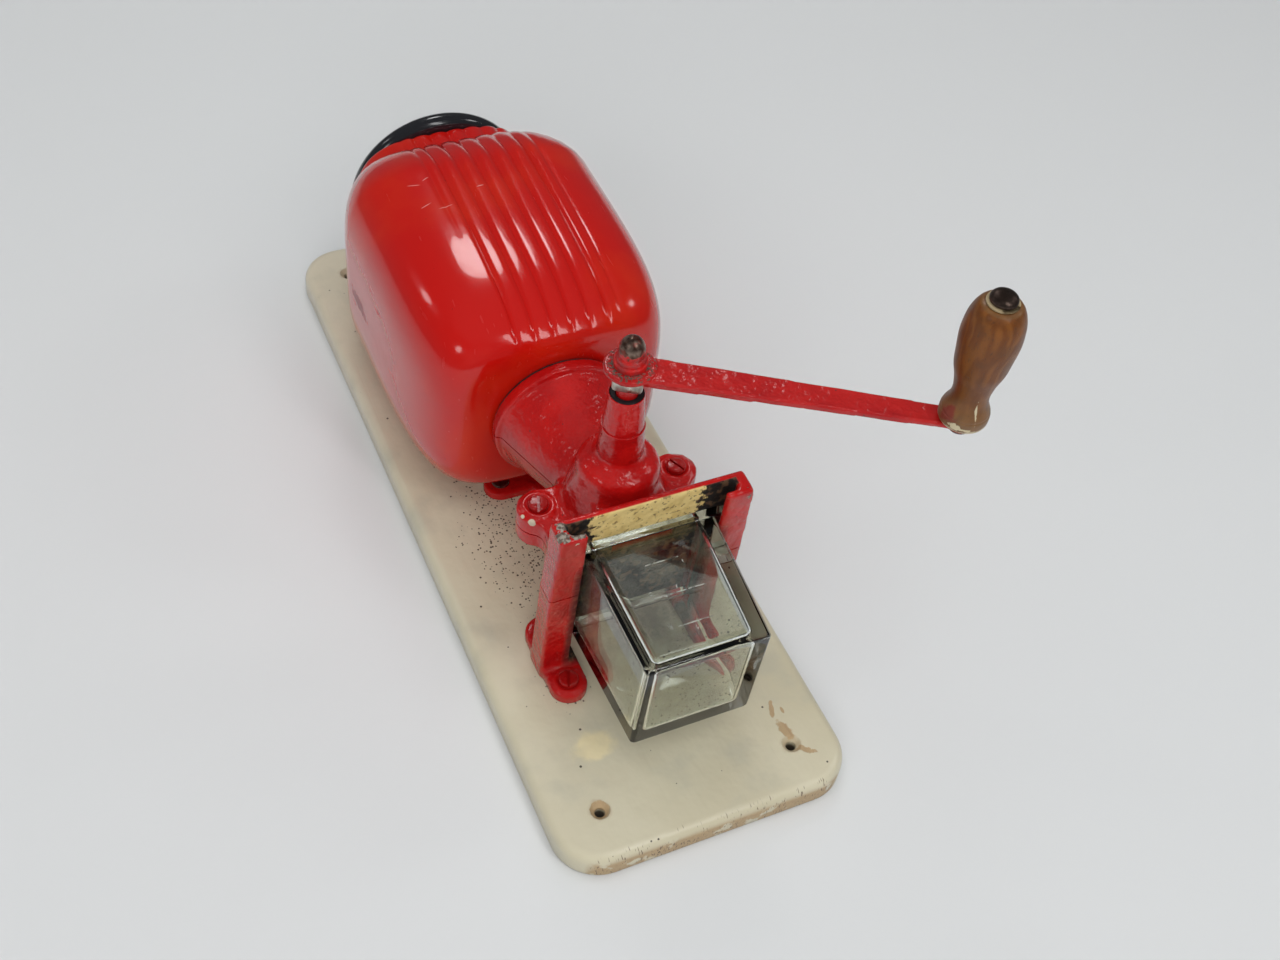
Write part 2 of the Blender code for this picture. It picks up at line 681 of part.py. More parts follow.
def upper_foot():
    """The web under the funnel and the T-shaped foot at its end."""
    start = FLANGE_Y - FLANGE_THICKNESS / 2
    end = SHAFT_Y + HUB_RADIUS / 2
    low = GROUND - 2 * OVERRUN
    outline = [(start, low), (start, PARTING - FUNNEL_MOUTH_RADIUS - FIT), (end, PARTING - FUNNEL_THROAT_RADIUS - FIT),
               (end, HUB_BACK + HUB_SHOULDER), (end + HUB_SHOULDER, low)]
    web = prism(outline, -WEB_THICKNESS / 2, WEB_THICKNESS / 2)
    upright = Matrix(((0, 0, 1, 0), (1, 0, 0, 0), (0, 1, 0, 0), (0, 0, 0, 1)))
    corner = UPPER_FOOT_LENGTH / 2 - FIT
    pad_outline = rounded_rectangle(UPPER_FOOT_WIDTH / 2, UPPER_FOOT_LENGTH / 2, corner, 4)
    pad = shifted(prism(pad_outline, GROUND - OVERRUN, BOARD_TOP + UPPER_FOOT_HEIGHT), 0, UPPER_FOOT_Y)
    strap = block((-WEB_THICKNESS, end + HUB_SHOULDER, GROUND - 3 * OVERRUN),
                  (WEB_THICKNESS, UPPER_FOOT_Y, BOARD_TOP + UPPER_FOOT_HEIGHT - FIT))
    return join(moved(web, upright), strap, pad)


def rear_casting(whole, look):
    """The rear half: half a funnel, the closed hub, two lugs, the lower bracket and three feet."""
    feet = [lower_foot(x) for x, y in foot_screw_places()]
    body = join(whole, *feet, upper_foot())
    under = block((-BOARD_WIDTH, -BOARD_LENGTH, -STANDOFF), (BOARD_WIDTH, BOARD_LENGTH, GROUND))
    chamber = on_shaft(disc(CHAMBER_RADIUS, CHAMBER_BACK, PARTING + OVERRUN))
    pocket = on_shaft(disc(BUSH_RADIUS + FIT, BUSH_FOOT, CHAMBER_BACK + FIT, SMALL_ROUND))
    body = cut(body, half_space(False), under, chamber, pocket, passage(SHAFT_Y))
    hole = SCREW_RADIUS + FIT
    body = drilled(body, lug_places(), PARTING - LUG_HEIGHT - OVERRUN, PARTING, hole)
    body = drilled(body, foot_screw_places(), 0, BOARD_TOP + FOOT_HEIGHT, hole)
    body = drilled(body, upper_foot_screw_places(), 0, BOARD_TOP + UPPER_FOOT_HEIGHT, hole)
    return node("rear_casting", drill_flange(body, False), look)


def seated_screws(name, places, seat, head_height, length, look):
    """A left and a right screw, each with its head on a seat that faces +Z."""
    for x, y in places:
        screw = slotted_screw(SCREW_RADIUS, SCREW_HEAD_RADIUS, head_height, length)
        side, angle = ("right", RIGHT_SLOT_ANGLE) if x > 0 else ("left", LEFT_SLOT_ANGLE)
        screw = shifted(moved(screw, Matrix.Rotation(angle, 4, "Z")), x, y, seat + FIT)
        node(f"{side}_{name}", screw, look)


def fasteners(looks):
    """The lug screws, the foot screws and the screws under the hopper."""
    seated_screws("lug_screw", lug_places(), PARTING + LUG_HEIGHT, SCREW_HEAD_HEIGHT, LUG_SCREW_LENGTH,
                  looks["red"])
    seated_screws("foot_screw", foot_screw_places(), BOARD_TOP + FOOT_HEIGHT, SCREW_HEAD_HEIGHT,
                  FOOT_HEIGHT + BOARD_SCREW_BITE, looks["red"])
    seated_screws("upper_foot_screw", upper_foot_screw_places(), BOARD_TOP + UPPER_FOOT_HEIGHT,
                  UPPER_SCREW_HEAD_HEIGHT, UPPER_FOOT_HEIGHT + BOARD_SCREW_BITE, looks["steel"])


def hopper_scale(distance):
    """How wide the hopper's section is, as a share of its widest, at a distance above its bottom."""
    if distance < HOPPER_BELLY_LENGTH:
        share = (HOPPER_BELLY_LENGTH - distance) / HOPPER_BELLY_LENGTH
        swell = max(0, 1 - share ** HOPPER_BELLY_CURVE) ** (1 / HOPPER_BELLY_CURVE)
        return HOPPER_SEAT + (1 - HOPPER_SEAT) * swell
    share = min(1, max(0, distance - HOPPER_RISE) / HOPPER_SHOULDER_LENGTH)
    swell = (1 - share ** HOPPER_SHOULDER_CURVE) ** (1 / HOPPER_SHOULDER_CURVE)
    return HOPPER_NECK + (1 - HOPPER_NECK) * swell


def rib_relief(x):
    """How deep the surface lies under the crests of the ribs, from 0 to 1, across the front."""
    span = RIB_COUNT * RIB_PITCH / 2
    if abs(x) < span:
        return 1 - abs(cos(pi * x / RIB_PITCH)) ** RIB_ROUNDNESS
    past = (abs(x) - span) / (RIB_PITCH / 2)
    return max(0, 1 - past) ** 2


def rib_rise(distance):
    """How far the ribs have risen at a distance above the hopper's bottom, from 0 to 1."""
    share = (distance - RIB_FADE_START) / (RIB_FADE_END - RIB_FADE_START)
    return smooth(min(1, max(0, share)))


def smooth(share):
    """An even start and end between 0 and 1."""
    return share * share * (3 - 2 * share)


def section_height(x, half_width, half_depth, squareness):
    """How far a rounded section stands out from its middle at one x."""
    return half_depth * (1 - abs(x / half_width) ** squareness) ** (1 / squareness)


def hopper_ring(distance, scale, inset, squareness, relief):
    """One closed section of the hopper. Points on the front keep their x, so the ribs run straight."""
    half_width = HOPPER_HALF_WIDTH * scale - inset
    half_depth = HOPPER_HALF_DEPTH * scale - inset
    steps = (RIB_COUNT + 1) * RIB_STEPS
    front = min((RIB_COUNT + 1) * RIB_PITCH / 2, half_width * RIB_FIELD)
    points = []
    for step in range(steps + 1):
        x = front * (1 - 2 * step / steps)
        z = section_height(x, half_width, half_depth, squareness)
        points.append(Vector((x, distance, z - relief * rib_relief(x))))
    start = atan2(points[-1].z, points[-1].x)
    end = atan2(points[0].z, points[0].x) + 2 * pi
    for step in range(1, HOPPER_BACK_STEPS):
        a = start + (end - start) * step / HOPPER_BACK_STEPS
        reach = (abs(cos(a)) / half_width) ** squareness + (abs(sin(a)) / half_depth) ** squareness
        reach = reach ** (-1 / squareness)
        points.append(Vector((reach * cos(a), distance, reach * sin(a))))
    return points


def round_ring(distance, radius):
    """A round section with as many points as the hopper's other sections."""
    model = hopper_ring(distance, 1.0, 0, 2.0, 0)
    angles = [atan2(point.z / HOPPER_HALF_DEPTH, point.x / HOPPER_HALF_WIDTH) for point in model]
    return [Vector((radius * cos(a), distance, radius * sin(a))) for a in angles]


def hopper(look):
    """The barrel hopper: round mouths at both ends and ribs along its front."""
    swelling = [HOPPER_BELLY_LENGTH * (1 - cos(pi / 2 * step / 8)) for step in range(9)]
    closing = [HOPPER_RISE + HOPPER_SHOULDER_LENGTH * sin(pi / 2 * step / 5) for step in range(5)]
    outside = [hopper_ring(d, hopper_scale(d), 0, HOPPER_SQUARENESS, RIB_DEPTH * rib_rise(d))
               for d in swelling + closing]
    edge = NECK_EDGE_ROUND
    neck = [hopper_ring(d, HOPPER_NECK, inset, NECK_SQUARENESS, RIB_DEPTH)
            for d, inset in ((SHOULDER_TOP, 0), (HOPPER_HEIGHT - edge, 0), (HOPPER_HEIGHT, edge))]
    opening = LID_SPIGOT_RADIUS + RUN
    mouth = [round_ring(HOPPER_HEIGHT, opening), round_ring(SHOULDER_TOP - HOPPER_WALL, opening)]
    wall = HOPPER_WALL
    inside = [hopper_ring(d, hopper_scale(d), wall, HOPPER_SQUARENESS, 0)
              for d in (HOPPER_RISE + HOPPER_SHOULDER_LENGTH / 2, HOPPER_RISE, HOPPER_BELLY_LENGTH, swelling[5], swelling[3], wall)]
    hole = [round_ring(wall, FUNNEL_MOUTH_RADIUS), round_ring(0, FUNNEL_MOUTH_RADIUS)]
    shell = shifted(skin([hole[-1]] + outside + neck + mouth + inside + hole), 0, HOPPER_Y, PARTING)
    for x, depth in hopper_screw_places():
        drill = disc(SMALL_SCREW_RADIUS + FIT, HOPPER_Y - FIT, HOPPER_Y + wall + FIT, HOLE_ROUND)
        shell = cut(shell, along_y(shifted(drill, x, depth)))
    node("hopper", shell, look)


def hopper_fixings(looks):
    """Gasket, clamp ring and four screws between the funnel's flange and the hopper."""
    inner = FUNNEL_MOUTH_RADIUS
    outer = FLANGE_RADIUS - FLANGE_EDGE_ROUND - FIT
    clamp_low = HOPPER_Y + CLAMP_LOW
    clamp_high = clamp_low + CLAMP_THICKNESS
    rings = {"hopper_gasket": (FLANGE_Y + FIT, FLANGE_Y + FIT + GASKET, looks["dark"]),
             "clamp_ring": (clamp_low, clamp_high, looks["steel"])}
    for name, (low, high, look) in rings.items():
        flat = ring(inner, outer, low, high, ROUND)
        flat = drilled(flat, hopper_screw_places(), low - OVERRUN, high, SMALL_SCREW_RADIUS + FIT)
        node(name, along_y(flat), look)
    length = clamp_high + FIT - FLANGE_Y + SMALL_SCREW_BITE
    for number, (x, depth) in enumerate(hopper_screw_places(), 1):
        screw = slotted_screw(SMALL_SCREW_RADIUS, SMALL_SCREW_HEAD_RADIUS, SMALL_SCREW_HEAD_HEIGHT, length)
        node(f"hopper_screw_{number}", along_y(shifted(screw, x, depth, clamp_high + FIT)), looks["steel"])


def lid(look, pivot):
    """The domed lid with the spigot that drops into the hopper's mouth."""
    shelf = LID_Y + LID_EDGE
    rim_radius = LID_EDGE / 2
    rim_centre = (LID_RADIUS - rim_radius, LID_Y + rim_radius)
    rim = arc(rim_centre, rim_radius, -pi / 2, pi / 2, 5)
    dome_foot = LID_RADIUS - rim_radius - LID_EDGE_TUCK
    dome = [(dome_foot * cos(a), shelf + LID_RISE * sin(a)) for a in (pi / 2 * step / 4 for step in range(4))]
    hollow = LID_SPIGOT_RADIUS - LID_SPIGOT_WALL
    under = [(0, shelf + LID_RISE - LID_WALL), (hollow, shelf - LID_WALL), (hollow, LID_Y - LID_SPIGOT),
             (LID_SPIGOT_RADIUS, LID_Y - LID_SPIGOT), (LID_SPIGOT_RADIUS, LID_Y)]
    profile = under + rim + dome + [(0, shelf + LID_RISE)]
    node("hopper_lid", along_y(turned(profile, ROUND)), look, pivot)


def toothed_ring(plain, toothed, low, high, twist, depth):
    """A ring with twisted teeth: each wall is (radius at low, radius at high), and depth is signed."""
    per_tooth = 3
    steps = BURR_TEETH * per_tooth
    levels = 3
    rings = []
    for radii, relief, order in ((plain, 0, range(levels + 1)), (toothed, depth, range(levels, -1, -1))):
        for level in order:
            share = level / levels
            radius = radii[0] + (radii[1] - radii[0]) * share
            points = []
            for step in range(steps):
                a = 2 * pi * step / steps + twist * share
                reach = radius + relief * (step % per_tooth) / (per_tooth - 1)
                points.append(Vector((reach * cos(a), reach * sin(a), low + (high - low) * share)))
            rings.append(points)
    return skin(rings + [rings[0]])


def burr_radius(z):
    """The outer burr's bore at a height, measured on its tooth tips."""
    return OUTER_BURR_RADIUS - BURR_EXIT_WALL - (BURR_TOP - z) * BURR_TAPER


def cross_hole(radius, reach, z):
    """A short rod across the spindle's axis, at a height."""
    rod = moved(disc(radius, -reach, reach, HOLE_ROUND), Matrix.Rotation(pi / 2, 4, "Y"))
    return shifted(rod, 0, 0, z)


def grinding(looks, pivot):
    """Burrs, worm, spring and cross pin round the spindle."""
    fixed = toothed_ring((OUTER_BURR_RADIUS, OUTER_BURR_RADIUS), (burr_radius(BURR_LOW), burr_radius(BURR_TOP)),
                         BURR_LOW, BURR_TOP, BURR_TWIST, BURR_TOOTH_DEPTH)
    node("outer_burr", on_shaft(fixed), looks["iron"])
    outer = (burr_radius(CONE_LOW) - BURR_GAP, burr_radius(BURR_TOP) - BURR_GAP)
    cone = toothed_ring((BUSH_BORE, BUSH_BORE), outer, CONE_LOW, BURR_TOP, -BURR_TWIST, -BURR_TOOTH_DEPTH)
    cone = cut(cone, cross_hole(PIN_RADIUS + FIT, CHAMBER_RADIUS, PIN_Z))
    node("inner_burr", on_shaft(cone), looks["iron"], pivot)
    pin_reach = outer[0] - BURR_TOOTH_DEPTH
    node("burr_pin", on_shaft(cross_hole(PIN_RADIUS, pin_reach, PIN_Z)), looks["steel"], pivot)
    worm_low = BUSH_FOOT + REAR_BUSH + 2 * FIT
    node("feed_worm", on_shaft(feed_worm(worm_low, CONE_LOW - FIT)), looks["iron"], pivot)
    spring = coil(BUSH_RADIUS + SPRING_WIRE, SPRING_WIRE / 2, BURR_TOP + FIT, ROOF - FIT, SPRING_TURNS)
    node("burr_spring", on_shaft(spring), looks["steel"], pivot)


def feed_worm(low, high):
    """A sleeve with a helical flight."""
    sleeve_radius = BUSH_BORE + WORM_SLEEVE
    sleeve = ring(BUSH_BORE, sleeve_radius, low, high)
    flight = bmesh.new()
    root = sleeve_radius - WORM_SLEEVE / 2
    half = WORM_FLIGHT / 2
    start = low + half + FIT
    corners = [(root, -half), (WORM_RADIUS, -half / 2), (WORM_RADIUS, half / 2), (root, half)]
    face = flight.faces.new([flight.verts.new((radius, 0, start + z)) for radius, z in corners])
    rise = high - low - WORM_FLIGHT - 2 * FIT
    turns = rise / WORM_PITCH
    steps = max(8, int(turns * 14))
    bmesh.ops.spin(flight, geom=[face] + list(face.edges) + list(face.verts), cent=(0, 0, 0), axis=(0, 0, 1),
                   dvec=(0, 0, rise / steps), angle=2 * pi * turns, steps=steps)
    return join(sleeve, finish_mesh(flight))


def coil(radius, wire, low, high, turns):
    """A helical spring between two heights, with closed ends."""
    steps = int(turns * 12)
    bm = bmesh.new()
    bmesh.ops.create_circle(bm, cap_ends=True, segments=6, radius=wire)
    bmesh.ops.rotate(bm, verts=bm.verts, cent=(0, 0, 0), matrix=Matrix.Rotation(pi / 2, 3, "X"))
    bmesh.ops.translate(bm, verts=bm.verts, vec=(radius, 0, low + wire))
    rise = high - low - 2 * wire
    bmesh.ops.spin(bm, geom=list(bm.verts) + list(bm.edges) + list(bm.faces), cent=(0, 0, 0), axis=(0, 0, 1),
                   dvec=(0, 0, rise / steps), angle=2 * pi * turns, steps=steps)
    return finish_mesh(bm)


def bearings(looks):
    """The thrust pad and the bushes that carry the spindle, and the ring that keeps dust out."""
    foot = BUSH_FOOT + FIT
    node("thrust_pad", on_shaft(disc(SPINDLE_RADIUS, foot, PAD_TOP, SMALL_ROUND)), looks["steel"])
    node("rear_bush", on_shaft(ring(BUSH_BORE, BUSH_RADIUS, foot, foot + REAR_BUSH)), looks["brass"])
    node("front_bush", on_shaft(ring(BUSH_BORE, BUSH_RADIUS, ROOF + FIT, BOSS_MOUTH - FIT)), looks["brass"])
    dust = ring(DUST_RING_RADIUS - DUST_RING_WALL, DUST_RING_RADIUS, BOSS_MOUTH, BOSS_TOP - FIT)
    node("dust_ring", on_shaft(dust), looks["dark"])


def spindle(looks, pivot):
    """The spindle with its square and thread, and the collar and square washer under the crank."""
    collar = ring(BUSH_BORE, BUSH_BORE + COLLAR_WALL, BOSS_MOUTH, WASHER_LOW - 2 * FIT)
    node("spindle_collar", on_shaft(collar), looks["red"], pivot)
    half = WASHER_SIZE / 2
    corner = SQUARE_SIZE / 2
    washer = prism(rounded_rectangle(half, half, WASHER_CORNER_RADIUS, 3), WASHER_LOW, CRANK_Z - FIT)
    hole = disc(corner * sqrt(2) + FIT, WASHER_LOW - OVERRUN, CRANK_Z + OVERRUN, SMALL_ROUND)
    turn = Matrix.Rotation(CRANK_REST_ANGLE, 4, "Z")
    node("crank_washer", on_shaft(moved(cut(washer, hole), turn)), looks["bright"], pivot)
    shaft = disc(SPINDLE_RADIUS, PAD_TOP + FIT, WASHER_LOW + WASHER_THICKNESS / 2, SMALL_ROUND)
    square = block((-corner, -corner, WASHER_LOW - FIT), (corner, corner, EYE_TOP - FIT))
    thread = disc(THREAD_RADIUS, EYE_TOP - OVERRUN, THREAD_TOP, SMALL_ROUND)
    shaft = join(shaft, moved(square, turn), thread)
    shaft = cut(shaft, cross_hole(PIN_RADIUS + FIT, SPINDLE_RADIUS + OVERRUN, PIN_Z))
    node("spindle", on_shaft(shaft), looks["steel"], pivot)


def crank_arm(look, pivot):
    """The flat arm with its raised square eye and its round tip."""
    high = CRANK_Z + CRANK_THICKNESS
    eye = turned([(0, CRANK_Z), (CRANK_EYE_RADIUS, CRANK_Z), (CRANK_EYE_RADIUS, EYE_TOP - CRANK_EYE_ROUND),
                  (CRANK_EYE_RADIUS - CRANK_EYE_ROUND, EYE_TOP), (0, EYE_TOP)])
    tip = shifted(disc(CRANK_TIP_RADIUS, CRANK_Z, high, SMALL_ROUND), CRANK_LENGTH, 0)
    root = CRANK_WIDTH / 2
    end = CRANK_TIP_WIDTH / 2
    bar = prism([(0, -root), (CRANK_LENGTH, -end), (CRANK_LENGTH, end), (0, root)], CRANK_Z, high)
    corner = SQUARE_SIZE / 2 + FIT
    square = block((-corner, -corner, CRANK_Z - OVERRUN), (corner, corner, EYE_TOP + OVERRUN))
    arm = cut(join(eye, bar, tip), square)
    arm = drilled(arm, [(CRANK_LENGTH, 0)], CRANK_Z - OVERRUN, high, RIVET_RADIUS + FIT)
    node("crank_arm", on_shaft(moved(arm, Matrix.Rotation(CRANK_REST_ANGLE, 4, "Z"))), look, pivot)


def acorn_nut(look, pivot):
    """The domed nut that holds the crank on the spindle's thread."""
    seat = EYE_TOP + FIT
    shoulder = seat + NUT_FOOT_HEIGHT
    dome = arc((0, seat + NUT_HEIGHT - NUT_RADIUS), NUT_RADIUS, 0, pi / 2, 4)
    bore = THREAD_RADIUS + FIT
    profile = [(0, THREAD_TOP + FIT), (bore, THREAD_TOP + FIT), (bore, seat), (NUT_FOOT_RADIUS, seat),
               (NUT_FOOT_RADIUS, shoulder - CRANK_EYE_ROUND), (NUT_RADIUS, shoulder)]
    node("acorn_nut", on_shaft(turned(profile + dome[:-1] + [(0, seat + NUT_HEIGHT)], SMALL_ROUND)), look, pivot)


def grip_outline():
    """The turned outline of the wooden grip: base, neck, belly and rounded top."""
    stations = [(GRIP_BASE_HEIGHT, GRIP_BASE_RADIUS), (GRIP_NECK_HEIGHT, GRIP_NECK_RADIUS),
                (GRIP_BELLY_HEIGHT, GRIP_BELLY_RADIUS)]
    points = [(GRIP_BASE_RADIUS - RUN, GRIP_LOW), (GRIP_BASE_RADIUS, GRIP_LOW + RUN)]
    for (start, first), (end, second) in zip(stations, stations[1:]):
        for step in range(4):
            share = step / 4
            points.append((first + (second - first) * smooth(share), GRIP_LOW + start + (end - start) * share))
    for step in range(4):
        a = pi / 2 * step / 3
        height = GRIP_BELLY_HEIGHT + (GRIP_LENGTH - GRIP_BELLY_HEIGHT) * sin(a)
        points.append((GRIP_TOP_RADIUS + (GRIP_BELLY_RADIUS - GRIP_TOP_RADIUS) * cos(a), GRIP_LOW + height))
    return points


def handle(looks, crank, pivot):
    """The wooden grip, which turns on a rivet between two washers."""
    bore = RIVET_RADIUS + FIT
    washer_places = {"lower_grip_washer": CRANK_Z + CRANK_THICKNESS + FIT, "upper_grip_washer": GRIP_HIGH + FIT}
    for name, low in washer_places.items():
        washer = ring(bore, GRIP_WASHER_RADIUS, low, low + GRIP_WASHER)
        node(name, shifted(washer, HANDLE_X, HANDLE_Y), looks["pale"], crank)
    profile = [(bore, GRIP_LOW)] + grip_outline() + [(bore, GRIP_HIGH)]
    node("handle_grip", shifted(turned(profile, SMALL_ROUND, closed=True), HANDLE_X, HANDLE_Y), looks["wood"], pivot)
    head = GRIP_HIGH + GRIP_WASHER + 2 * FIT
    tail = CRANK_Z - FIT
    dome = [(RIVET_HEAD_RADIUS * cos(a), head + RIVET_HEAD_HEIGHT * (1 + 2 * sin(a)) / 3)
            for a in (pi / 2 * step / 3 for step in range(3))]
    rivet = [(0, tail - RIVET_TAIL_HEIGHT), (RIVET_TAIL_RADIUS - RUN, tail - RIVET_TAIL_HEIGHT),
             (RIVET_TAIL_RADIUS, tail), (RIVET_RADIUS, tail), (RIVET_RADIUS, head),
             (RIVET_HEAD_RADIUS, head)] + dome + [(0, head + RIVET_HEAD_HEIGHT)]
    node("handle_rivet", shifted(turned(rivet, SMALL_ROUND), HANDLE_X, HANDLE_Y), looks["steel"], crank)


def glass_section(y, half, inset):
    """One rounded-rectangular section of the catcher, in the bracket's frame."""
    middle = (GLASS_ABOVE - GLASS_BELOW) / 2
    half_height = (GLASS_ABOVE + GLASS_BELOW) / 2 - inset
    outline = rounded_rectangle(half, half_height, GLASS_CORNER, 3)
    return [Vector((x, y, middle + z)) for x, z in outline]


def catcher(look, pivot):
    """The pressed glass box, its rim held in the bracket's channels."""
    rim_y = -FIT
    body_y = rim_y - GLASS_RIM_THICKNESS
    end_y = rim_y - GLASS_DEPTH
    wall = GLASS_WALL
    rings = [glass_section(rim_y, GLASS_RIM_HALF, 0), glass_section(body_y, GLASS_RIM_HALF, 0),
             glass_section(body_y, GLASS_MOUTH_HALF, GLASS_RIM_STEP),
             glass_section(end_y + GLASS_CORNER / 2, GLASS_BOTTOM_HALF, GLASS_TAPER),
             glass_section(end_y, GLASS_BOTTOM_HALF - GLASS_CORNER / 2, GLASS_TAPER + GLASS_CORNER / 2)]
    hollow = [glass_section(rim_y + OVERRUN, GLASS_MOUTH_HALF - wall, wall),
              glass_section(end_y + wall, GLASS_BOTTOM_HALF - wall, GLASS_TAPER + wall)]
    node("catcher_glass", leaning(cut(capped(rings), capped(hollow))), look, pivot)


def main():
    """Build the whole mill."""
    clear_scene()
    looks = {
        "red": material("red_enamel", (0.62, 0.03, 0.02), 0.25),
        "cream": material("cream_board_paint", (0.62, 0.58, 0.46), 0.45),
        "black": material("black_lid", (0.012, 0.014, 0.018), 0.15),
        "dark": material("dark_felt", (0.02, 0.02, 0.022), 0.7),
        "steel": material("worn_steel", (0.30, 0.27, 0.25), 0.4, 1.0),
        "bright": material("bright_steel", (0.62, 0.60, 0.55), 0.3, 1.0),
        "iron": material("burr_iron", (0.20, 0.19, 0.18), 0.5, 1.0),
        "brass": material("bush_brass", (0.60, 0.42, 0.18), 0.35, 1.0),
        "wood": material("turned_wood", (0.33, 0.15, 0.05), 0.5),
        "pale": material("pale_washer", (0.55, 0.47, 0.33), 0.5),
        "glass": material("pressed_glass", (0.90, 0.95, 0.90), 0.05, 0.0, 1.0),
    }
    crank_pivot = empty("crank_pivot", (0, SHAFT_Y, PARTING))
    handle_pivot = empty("handle_pivot", (HANDLE_X, HANDLE_Y, CRANK_Z), crank_pivot)
    lid_slide = empty("lid_slide", (0, LID_Y, PARTING))
    glass_slide = empty("glass_slide", (0, PLATE_Y, PARTING))
    board(looks["cream"])
    whole = whole_casting()
    rear_casting(whole.copy(), looks["red"])
    front_casting(whole, looks["red"])
    fasteners(looks)
    hopper(looks["red"])
    hopper_fixings(looks)
    lid(looks["black"], lid_slide)
    bearings(looks)
    grinding(looks, crank_pivot)
    spindle(looks, crank_pivot)
    crank_arm(looks["red"], crank_pivot)
    acorn_nut(looks["steel"], crank_pivot)
    handle(looks, crank_pivot, handle_pivot)
    catcher(looks["glass"], glass_slide)


if __name__ == "__main__":
    main()
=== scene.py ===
"""Dresses a wall-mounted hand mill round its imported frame: paint, castings, glass, wood and a studio stage.

All lengths are in metres, in the frame's own axes: +Z out of the board, +Y towards the hopper.
"""
from math import atan2, cos, pi, radians, sin, tan

import bmesh
import bpy
from bpy.props import FloatProperty, FloatVectorProperty, IntProperty, PointerProperty
from mathutils import Matrix, Vector


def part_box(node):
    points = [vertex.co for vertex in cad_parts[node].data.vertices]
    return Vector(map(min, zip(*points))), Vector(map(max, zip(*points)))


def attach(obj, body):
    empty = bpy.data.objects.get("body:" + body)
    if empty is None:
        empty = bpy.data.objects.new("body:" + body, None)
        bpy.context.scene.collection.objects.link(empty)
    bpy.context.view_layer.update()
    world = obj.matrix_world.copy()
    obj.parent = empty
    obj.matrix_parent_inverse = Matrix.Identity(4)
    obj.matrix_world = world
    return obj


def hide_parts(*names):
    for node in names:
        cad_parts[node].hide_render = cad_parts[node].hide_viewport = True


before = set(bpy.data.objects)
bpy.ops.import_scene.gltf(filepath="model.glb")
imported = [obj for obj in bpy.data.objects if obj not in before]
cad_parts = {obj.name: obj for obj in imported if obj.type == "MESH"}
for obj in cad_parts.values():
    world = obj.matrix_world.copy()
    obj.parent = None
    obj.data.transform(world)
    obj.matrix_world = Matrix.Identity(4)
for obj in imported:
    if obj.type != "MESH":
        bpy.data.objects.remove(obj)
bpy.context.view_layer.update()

bl_info = {
    "name": "Wall mill looks",
    "version": (1, 0, 0),
    "blender": (4, 5, 0),
    "location": "3D View > Sidebar > Mill",
    "description": "Models and finishes a wall-mounted hand mill round its frame",
    "category": "Mesh",
}

# Play between pieces, how far a cutter runs past a face, and a reach past everything
PLAY = 0.0003
PAST = 0.002
FAR = 0.3


def middle(name):
    """The centre of a node's box."""
    return [(low + high) / 2 for low, high in zip(*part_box(name))]


# Places that come from the frame
BOARD_LOW, BOARD_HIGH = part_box("board")
BOARD_TOP = BOARD_HIGH.z
SHAFT_Y = middle("spindle")[1]
PARTING = (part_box("rear_casting")[1].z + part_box("front_casting")[0].z) / 2
HOPPER_LOW, HOPPER_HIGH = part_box("hopper")
LID_LOW, LID_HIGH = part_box("hopper_lid")
GRIP_LOW, GRIP_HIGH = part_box("handle_grip")
GRIP_MIDDLE = (GRIP_LOW + GRIP_HIGH) / 2
ARM_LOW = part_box("crank_arm")[0].z
ARM_ANGLE = atan2(GRIP_MIDDLE.y - SHAFT_Y, GRIP_MIDDLE.x)
ARM_LENGTH = Vector((GRIP_MIDDLE.x, GRIP_MIDDLE.y - SHAFT_Y)).length
FLANGE_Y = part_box("hopper_gasket")[0].y - PLAY
LUG_X, LUG_Y, _ = middle("right_lug_screw")
FOOT_X, FOOT_Y, _ = middle("right_foot_screw")
UPPER_FOOT_X, UPPER_FOOT_Y, _ = middle("right_upper_foot_screw")
LUGS = [(LUG_X, LUG_Y)]
FEET = [(FOOT_X, FOOT_Y), (UPPER_FOOT_X, UPPER_FOOT_Y)]
WALL_HOLES = [(side * 0.0435, end * 0.168) for side in (-1, 1) for end in (-1, 1)]

# Sizes of the castings that the frame's boxes don't give
LEAN = radians(4.0)
PLATE_DROP = 0.0282
PLATE_Y = SHAFT_Y - PLATE_DROP
PLATE_THICK = 0.0032
PLATE_TOP = 0.040
PLATE_BOTTOM = -0.0375
HUB_RADIUS = 0.0213
HUB_CORNER = 0.007
HUB_TOP = PARTING + 0.0345
HUB_BACK = PARTING - 0.044
HUB_SIDE = PARTING + 0.0085
HUB_FLOOR = HUB_BACK + 0.0042
HUB_ROOF = HUB_TOP - 0.0175
CORE_TOP = HUB_TOP + 0.010
CROWN_RADIUS = 0.0174
CROWN_ROUND = 0.006
CHAMBER_RADIUS = 0.0171
BOSS_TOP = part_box("front_casting")[1].z
BOSS_TOP_RADIUS = 0.0072
BOSS_BORE = 0.0059
DUST_RING_RADIUS = 0.0069
DUST_RING_DEPTH = 0.0036
CHUTE_HALF = 0.014
CHUTE_DEPTH = 0.009
FUNNEL_MOUTH = 0.0242
FUNNEL_THROAT = 0.0155
FUNNEL_WALL = 0.003
FLANGE_RADIUS = 0.0316
FLANGE_THICK = 0.0057
LUG_RADIUS = 0.0091
LUG_HALF = 0.008
CHANNEL_HALF = 0.036
ARM_HALF = 0.0413
LIP_HALF = 0.0295
CHANNEL_DEPTH = 0.0049
BRACKET_FRONT = 0.0081
BRACKET_SPREAD = 0.0015
FOOT_RADIUS = 0.0082
FOOT_END_Y = PLATE_Y + 0.0142
UPPER_FOOT_RADIUS = 0.0079
FOOT_TOP = BOARD_TOP + 0.005
UPPER_FOOT_TOP = BOARD_TOP + 0.004
SCREW_HOLE = 0.0022

